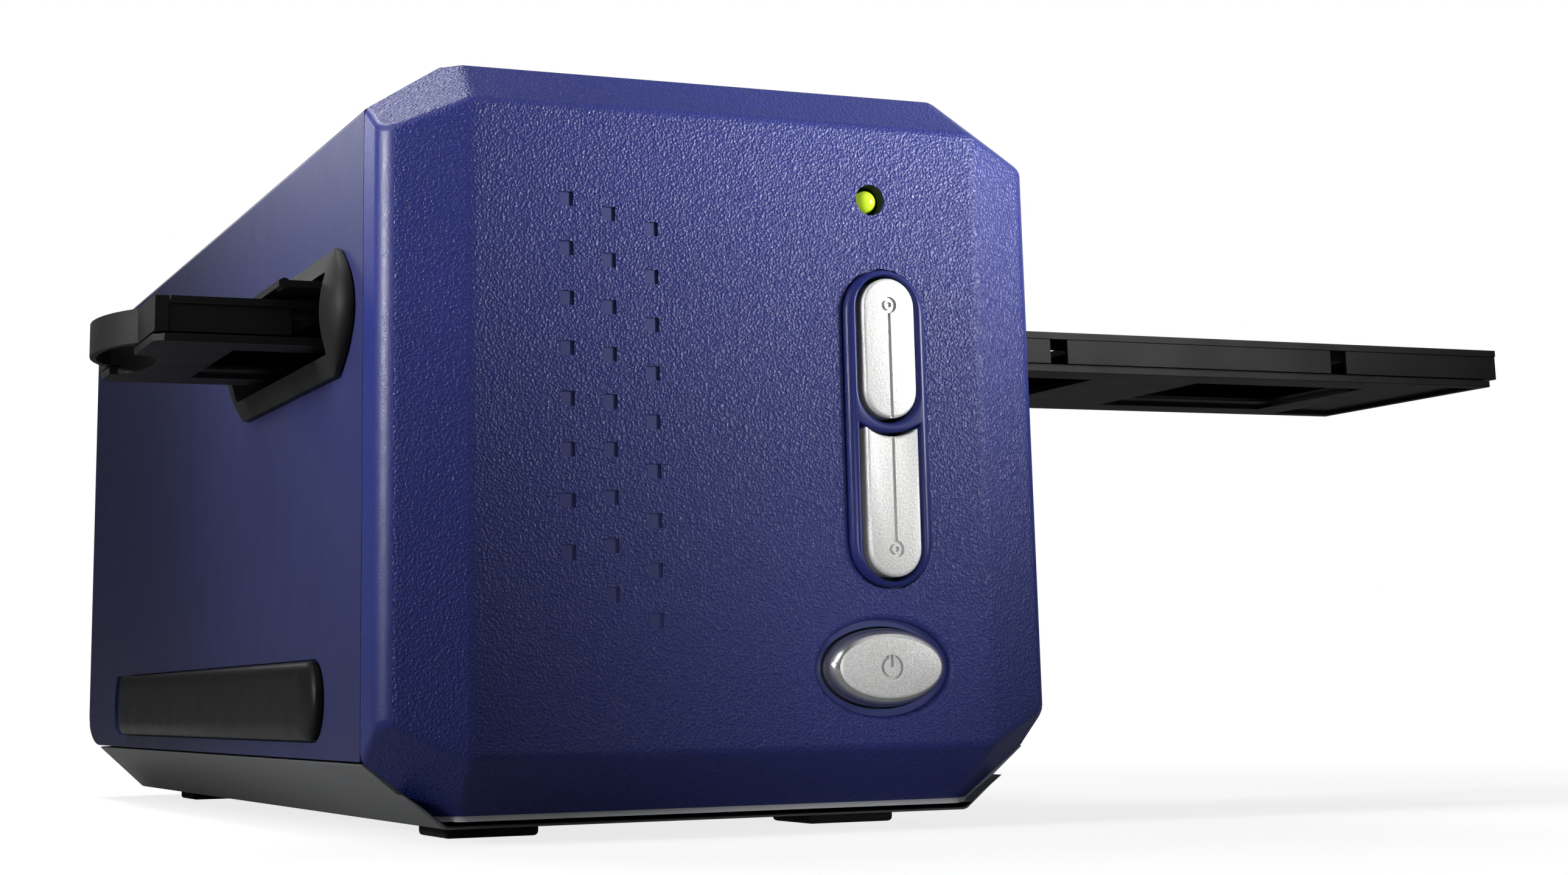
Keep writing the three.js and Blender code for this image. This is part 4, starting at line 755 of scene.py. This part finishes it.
def rounded_hull(form):
    """The outer form with softened slopes, to shape the solid with"""
    hull = bmesh.new()
    for vert in form.verts:
        hull.verts.new(vert.co)
    bmesh.ops.convex_hull(hull, input=hull.verts[:])
    for vert in [vert for vert in hull.verts if not vert.link_faces]:
        hull.verts.remove(vert)
    bmesh.ops.dissolve_limit(
        hull, angle_limit=math.radians(hull_flat_degrees), verts=hull.verts, edges=hull.edges,
        delimit=set(),
    )
    sides = [
        edge for edge in hull.edges
        if abs(middle_of(edge).x) > bezel_high.x - side_band
        and edge.calc_length() > side_edge_length
        and middle_of(edge).y < bezel_high.y - side_back_band
    ]
    round_edges(hull, sides, corner_round, 6)
    slopes = [
        edge for edge in hull.edges
        if len(edge.link_faces) == 2 and edge.calc_face_angle() > math.radians(slope_degrees)
        and middle_of(edge).y < bezel_high.y - back_band
    ]
    round_edges(hull, slopes, slope_round, 3)
    return hull


def lip_form(hull):
    """The tray's lip under the cover: the hull's outline at its top, straight down"""
    cut = bmesh.ops.bisect_plane(
        hull, geom=hull.verts[:] + hull.edges[:] + hull.faces[:],
        plane_co=(0, 0, bezel_low.z + lip_height), plane_no=(0, 0, 1),
    )
    outline = [part.co.copy() for part in cut["geom_cut"] if isinstance(part, bmesh.types.BMVert)]
    centre_y = sum(place.y for place in outline) / len(outline)
    outline.sort(key=lambda place: math.atan2(place.y - centre_y, place.x))
    return loft([
        [(place.x, place.y, bezel_low.z + lip_height) for place in outline],
        [(place.x, place.y, bezel_low.z) for place in outline],
    ])


bezel_form = solid_form("front_bezel")
for vert in bezel_form.verts:
    if abs(vert.co.y - solid_floor_y) < same_level:
        vert.co.y = bezel_low.y + (recess_depth if in_recess(vert.co) else dimple_depth)
widest_oval = oval(
    power_place.x, power_place.z, recess_half_width + recess_rim, recess_half_height + recess_rim,
    oval_steps,
)
rim_rings = [ring_at(widest_oval, bezel_low.y - cut_overshoot)]
for across, down in quarter_round():
    outline = oval(
        power_place.x, power_place.z, recess_half_width + recess_rim * down,
        recess_half_height + recess_rim * down, oval_steps,
    )
    rim_rings.append(ring_at(outline, bezel_low.y + recess_rim * across))
outer = rounded_hull(bezel_form)
lip = lip_form(outer.copy())
bezel_form = carve(carve(bezel_form, [outer], "INTERSECT"), [loft(rim_rings)])
bezel_form = carve(bezel_form, [lip], "UNION")
bezel_cover = add_piece("bezel_cover", bezel_form, "front_bezel", coarse_blue, 30)
even_normals(bezel_cover)
bezel_cover.data.materials.append(lit_dimple_blue)
bezel_cover.data.materials.append(lit_lip_silver)
# The lowest band takes the silver with painted light, and the dimple floors take the blue with
# painted light
for face in bezel_cover.data.polygons:
    if face.center.z < bezel_low.z + lip_height - lip_margin:
        face.material_index = lip_index
    elif (
        face.normal.y < facing_front
        and bezel_low.y + relief_near < face.center.y < bezel_low.y + relief_far
    ):
        face.material_index = dimple_index

# Button surround
# A raised stadium of glossy blue plastic pressed into the bezel, open round both buttons.
gloss_blue = start_finish("gloss_blue", (0.018, 0.024, 0.140), 0.34, 0.0, 0.22)
vary_roughness(gloss_blue, 0.31, 0.37, 5 * MM)
surround_low, surround_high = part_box("button_surround")
button_gap = 0.6 * MM
rim_round = 1.35 * MM
lip_round = 0.7 * MM
lower_button_dip = 1.4 * MM
skirt_inset = 0.6 * MM
flange_y = bezel_low.y + 1.1 * MM
hole_overshoot = 2 * MM


def stadium(low, high, grow, steps=16):
    """Upright outline with round ends, in x and z"""
    middle_x = (low.x + high.x) / 2
    radius = (high.x - low.x) / 2 + grow
    points = []
    for centre_z, start in ((high.z + grow - radius, 0), (low.z - grow + radius, math.pi)):
        for i in range(steps + 1):
            angle = start + math.pi * i / steps
            points.append(
                (middle_x + radius * math.cos(angle), centre_z + radius * math.sin(angle))
            )
    return points


def button_outline(upper, grow, steps=16):
    """Outline of a scan button: the lower one is hollowed at its top"""
    low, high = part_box("upper_scan_button" if upper else "lower_scan_button")
    points = stadium(low, high, grow, steps)
    if upper:
        return points
    left = (low.x - grow, high.z + grow)
    right = (high.x + grow, high.z + grow)
    hollow = flat_arc(right, left, -lower_button_dip, steps)
    return hollow + points[steps + 1:]


surround_rings = [
    ring_at(stadium(surround_low, surround_high, grow), y)
    for grow, y in ((-skirt_inset, surround_high.y), (-skirt_inset, flange_y), (0, flange_y))
]
for across, down in quarter_round():
    outline = stadium(surround_low, surround_high, -rim_round * across)
    surround_rings.append(ring_at(outline, surround_low.y + rim_round * down))
holes = []
for upper in (True, False):
    rings = [ring_at(button_outline(upper, button_gap), surround_high.y + hole_overshoot)]
    for across, down in quarter_round():
        outline = button_outline(upper, button_gap + lip_round * across)
        rings.append(ring_at(outline, surround_low.y + lip_round * down))
    mouth = button_outline(upper, button_gap + lip_round)
    rings.append(ring_at(mouth, surround_low.y - hole_overshoot))
    holes.append(loft(rings))
add_piece("button_ring", carve(loft(surround_rings), holes), "button_surround", gloss_blue, 40)

# Scan buttons
# Two moulded caps in satin silver lacquer, each with a fine line, a ring and a dot cut into
# its face. They press straight in on small switches.
satin_silver = start_finish("satin_silver", (0.66, 0.66, 0.65), 0.42, 0.25, 0.3)
vary_colour(satin_silver, (0.58, 0.58, 0.57), (0.74, 0.74, 0.73), 0.35 * MM, 3)
add_grain(satin_silver, 0.3 * MM, 0.045 * MM)
cap_round = 0.55 * MM
cap_back_inset = 0.2 * MM
cap_back_y = bezel_low.y + 3.5 * MM
line_width = 0.5 * MM
line_depth = 0.35 * MM
mark_radius = 1.3 * MM
mark_inset = 4.3 * MM


def disc(x, z, radius, near_y, far_y, steps=32):
    """A round plug along y"""
    outline = oval(x, z, radius, radius, steps)
    return loft([ring_at(outline, near_y), ring_at(outline, far_y)])


for upper, node, name in (
    (True, "upper_scan_button", "upper_button_cap"),
    (False, "lower_scan_button", "lower_button_cap"),
):
    low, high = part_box(node)
    rings = [ring_at(button_outline(upper, -cap_back_inset), cap_back_y)]
    for across, down in quarter_round():
        rings.append(ring_at(button_outline(upper, -cap_round * across), low.y + cap_round * down))
    middle_x = (low.x + high.x) / 2
    mark_z = high.z - mark_inset if upper else low.z + mark_inset
    line_low = low.z - cut_overshoot if upper else mark_z + mark_radius
    line_high = mark_z - mark_radius if upper else high.z + cut_overshoot
    front = low.y - cut_overshoot
    floor_y = low.y + line_depth
    line = box_form(
        (middle_x - line_width / 2, front, line_low),
        (middle_x + line_width / 2, floor_y, line_high),
    )
    core = disc(
        middle_x, mark_z, mark_radius - line_width, front - cut_overshoot, floor_y + cut_overshoot,
    )
    ring = carve(disc(middle_x, mark_z, mark_radius, front, floor_y), [core])
    dot = disc(middle_x, mark_z, mark_radius / 3, front, floor_y, 16)
    add_piece(name, carve(loft(rings), [line, ring, dot]), node, satin_silver, 40)

# Power button
# An oval cap with a polished rim and a speckled silver top, the power sign cut into it.
# It presses straight in on its switch.
power_x = (power_low.x + power_high.x) / 2
power_z = (power_low.z + power_high.z) / 2
power_half_width = (power_high.x - power_low.x) / 2
power_half_height = (power_high.z - power_low.z) / 2
# Painted light: the top's silver is a lighter copy of the scan buttons' satin silver, brightened
# where less lamp light falls on it
lit_power_silver = start_finish("lit_power_silver", (0.70, 0.70, 0.69), 0.38, 0.2, 0.5)
vary_colour(lit_power_silver, (0.61, 0.61, 0.60), (0.79, 0.79, 0.78), 0.3 * MM, 3)
add_grain(lit_power_silver, 0.35 * MM, 0.08 * MM)
polished_rim = start_finish("polished_rim", (0.62, 0.62, 0.61), 0.2, 0.9, 0.5)
vary_roughness(polished_rim, 0.16, 0.26, 1.5 * MM)
add_grain(polished_rim, 0.5 * MM, 0.02 * MM)
flank_profile = [(0, 3), (0.15, 2), (0.4, 1.3), (0.75, 0.75), (1.15, 0.35), (1.3, 0.25)]
crown_profile = [(1.38, 0.14), (1.5, 0.05), (1.7, 0)]
stem_profile = [(0, 5.9)]
cap_steps = 64
dome_rings = []
for inset, down in stem_profile + flank_profile + crown_profile:
    outline = oval(
        power_x, power_z, power_half_width - inset * MM, power_half_height - inset * MM, cap_steps,
    )
    dome_rings.append(ring_at(outline, power_low.y + down * MM))
sign_radius = 1.9 * MM
sign_floor = power_low.y + 0.9 * MM
sign_front = power_low.y - cut_overshoot
sign_gap_height = 4 * MM
rim_width = 1.34 * MM
rim_index = 1
sign_gap = box_form(
    (power_x - line_width, sign_front - cut_overshoot, power_z),
    (power_x + line_width, sign_floor + cut_overshoot, power_z + sign_gap_height),
)
sign_core = disc(
    power_x, power_z, sign_radius - line_width, sign_front - cut_overshoot,
    sign_floor + cut_overshoot,
)
sign_ring = carve(
    disc(power_x, power_z, sign_radius, sign_front, sign_floor), [sign_core, sign_gap],
)
sign_stroke = box_form(
    (power_x - line_width / 2, sign_front, power_z),
    (power_x + line_width / 2, sign_floor, power_z + sign_radius),
)
power_form = carve(loft(dome_rings), [sign_ring, sign_stroke])
power_cap = add_piece("power_cap", power_form, "power_button", lit_power_silver, 30)
power_cap.data.materials.append(polished_rim)
for face in power_cap.data.polygons:
    across = math.hypot(
        (face.center.x - power_x) / (power_half_width - rim_width),
        (face.center.z - power_z) / (power_half_height - rim_width),
    )
    if across > 1:
        face.material_index = rim_index

# Status light
# A clear yellow green lens on a short body, moulded in one and seated in a round hole of
# the bezel. It glows a little.
green_lens = start_finish("green_lens", (0.42, 0.60, 0.03), 0.12)
lens_shader = green_lens.node_tree.nodes["Principled BSDF"]
lens_shader.inputs["Emission Color"].default_value = (0.40, 0.55, 0.01, 1)
lens_shader.inputs["Emission Strength"].default_value = 0.5
vary_roughness(green_lens, 0.08, 0.16, 1 * MM)
light_low, light_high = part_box("status_light")
light_x = (light_low.x + light_high.x) / 2
light_z = (light_low.z + light_high.z) / 2
light_radius = (light_high.x - light_low.x) / 2
lens_height_share = 0.8
lens_steps = 10
lens_round_steps = 32
body_outline = oval(light_x, light_z, light_radius, light_radius, lens_round_steps)
lens_rings = [ring_at(body_outline, light_high.y)]
for i in range(lens_steps):
    angle = math.pi / 2 * i / lens_steps
    radius = light_radius * math.cos(angle)
    y = light_low.y + light_radius * lens_height_share * (1 - math.sin(angle))
    lens_rings.append(ring_at(oval(light_x, light_z, radius, radius, lens_round_steps), y))
add_piece("status_lens", loft(lens_rings), "status_light", green_lens, 50)

# Floor and light
# A white studio floor that runs out of sight, a white surround, and seven soft lamps, four
# with grids: one at the right and a small low one for the face, two at the left, two behind
# and one for the far side.
floor_z = cad_box[0].z
floor_half = 4
floor_gloss_share = 0.08
surround_light = 0.05
card_direction = (0.55, -0.45, 0.7)
floor_mesh = bpy.data.meshes.new("floor")
floor_mesh.from_pydata(
    [(-floor_half, -floor_half, floor_z), (floor_half, -floor_half, floor_z),
     (floor_half, floor_half, floor_z), (-floor_half, floor_half, floor_z)],
    [], [(0, 1, 2, 3)],
)
floor = bpy.data.objects.new("floor", floor_mesh)
bpy.context.scene.collection.objects.link(floor)
floor_white = start_finish("floor_white", (0.4, 0.4, 0.4), 0.9, 0.0, 0.0)
vary_colour(floor_white, (0.395, 0.395, 0.395), (0.405, 0.405, 0.405), 0.5)
floor_mesh.materials.append(floor_white)
floor_nodes = floor_white.node_tree.nodes
floor_links = floor_white.node_tree.links
floor_path = floor_nodes.new("ShaderNodeLightPath")
floor_seen = floor_nodes.new("ShaderNodeMath")
floor_seen.operation = "MULTIPLY_ADD"
floor_seen.inputs[1].default_value = floor_gloss_share
floor_links.new(floor_path.outputs["Is Glossy Ray"], floor_seen.inputs[0])
floor_links.new(floor_path.outputs["Is Camera Ray"], floor_seen.inputs[2])
floor_glow = floor_nodes.new("ShaderNodeMath")
floor_glow.operation = "MULTIPLY"
floor_place = floor_nodes.new("ShaderNodeTexCoord")
floor_away = floor_nodes.new("ShaderNodeVectorMath")
floor_away.operation = "LENGTH"
floor_white_out = floor_nodes.new("ShaderNodeMapRange")
floor_white_out.interpolation_type = "SMOOTHSTEP"
floor_white_out.inputs["From Min"].default_value = 0.16
floor_white_out.inputs["From Max"].default_value = 0.5
floor_white_out.inputs["To Min"].default_value = 0.8
floor_white_out.inputs["To Max"].default_value = 1
floor_links.new(floor_place.outputs["Object"], floor_away.inputs[0])
floor_links.new(floor_away.outputs["Value"], floor_white_out.inputs["Value"])
floor_links.new(floor_white_out.outputs["Result"], floor_glow.inputs[1])
floor_links.new(floor_seen.outputs["Value"], floor_glow.inputs[0])
floor_shader = floor_nodes["Principled BSDF"]
floor_shader.inputs["Emission Color"].default_value = (1, 1, 1, 1)
floor_links.new(floor_glow.outputs["Value"], floor_shader.inputs["Emission Strength"])

world = bpy.data.worlds.new("studio")
bpy.context.scene.world = world
world.use_nodes = True
world_nodes = world.node_tree.nodes
world_links = world.node_tree.links
fill_light = world_nodes["Background"]
fill_light.inputs["Color"].default_value = (1, 1, 1, 1)
fill_light.inputs["Strength"].default_value = surround_light
seen_white = world_nodes.new("ShaderNodeBackground")
seen_white.inputs["Color"].default_value = (1, 1, 1, 1)
seen_white.inputs["Strength"].default_value = 1
path = world_nodes.new("ShaderNodeLightPath")
mirrored = world_nodes.new("ShaderNodeMath")
mirrored.operation = "MAXIMUM"
world_links.new(path.outputs["Is Glossy Ray"], mirrored.inputs[0])
world_links.new(path.outputs["Is Transmission Ray"], mirrored.inputs[1])
# The white that the gloss shows lies in front, to the right and above
way = world_nodes.new("ShaderNodeTexCoord")
toward = world_nodes.new("ShaderNodeVectorMath")
toward.operation = "DOT_PRODUCT"
toward.inputs[1].default_value = card_direction
backdrop = world_nodes.new("ShaderNodeMapRange")
backdrop.interpolation_type = "SMOOTHSTEP"
backdrop.inputs["From Min"].default_value = 0.6
backdrop.inputs["From Max"].default_value = 1
world_links.new(way.outputs["Generated"], toward.inputs[0])
world_links.new(toward.outputs["Value"], backdrop.inputs["Value"])
mirrored_white = world_nodes.new("ShaderNodeMath")
mirrored_white.operation = "MULTIPLY"
world_links.new(mirrored.outputs["Value"], mirrored_white.inputs[0])
world_links.new(backdrop.outputs["Result"], mirrored_white.inputs[1])
seen = world_nodes.new("ShaderNodeMath")
seen.operation = "MAXIMUM"
world_links.new(path.outputs["Is Camera Ray"], seen.inputs[0])
world_links.new(mirrored_white.outputs["Value"], seen.inputs[1])
choose = world_nodes.new("ShaderNodeMixShader")
world_links.new(seen.outputs["Value"], choose.inputs["Fac"])
world_links.new(fill_light.outputs["Background"], choose.inputs[1])
world_links.new(seen_white.outputs["Background"], choose.inputs[2])
world_links.new(choose.outputs["Shader"], world_nodes["World Output"].inputs["Surface"])


def add_lamp(name, place, aim, width, height, watts, spread=180):
    """A soft rectangular lamp that looks at a point, with a grid where it spreads less"""
    lamp_data = bpy.data.lights.new(name, "AREA")
    lamp_data.shape = "RECTANGLE"
    lamp_data.size = width
    lamp_data.size_y = height
    lamp_data.energy = watts
    lamp_data.spread = math.radians(spread)
    lamp = bpy.data.objects.new(name, lamp_data)
    bpy.context.scene.collection.objects.link(lamp)
    lamp.location = place
    lamp.rotation_euler = (Vector(aim) - Vector(place)).to_track_quat("-Z", "Y").to_euler()
    lamp.visible_camera = False


add_lamp("right_lamp", (0.28, -0.36, 0.13), (0.055, -0.137, 0.153), 0.1, 0.1, 0.24, 38)
add_lamp("low_lamp", (-0.12, -0.48, 0.03), (0.026, -0.137, 0.020), 0.06, 0.06, 0.0062, 14)
add_lamp("left_lamp", (-0.60, -0.12, 0.22), (-0.055, -0.11, 0.12), 0.15, 0.15, 0.14, 24)
add_lamp("upper_left_lamp", (-0.30, -0.15, 0.32), (-0.05, -0.1, 0.08), 0.25, 0.25, 0.5)
add_lamp("rear_lamp", (-0.14, 0.25, 0.62), (-0.055, -0.1, 0.10), 0.2, 0.3, 1.7)
add_lamp("edge_lamp", (-0.205, 0.464, 0.30), (-0.055, -0.12, 0.115), 0.12, 0.12, 0.007, 24)
add_lamp("far_side_lamp", (0.7, 0.45, 0.5), (0, 0, 0.06), 0.6, 0.6, 0.9)
bpy.context.scene.view_settings.view_transform = "Standard"
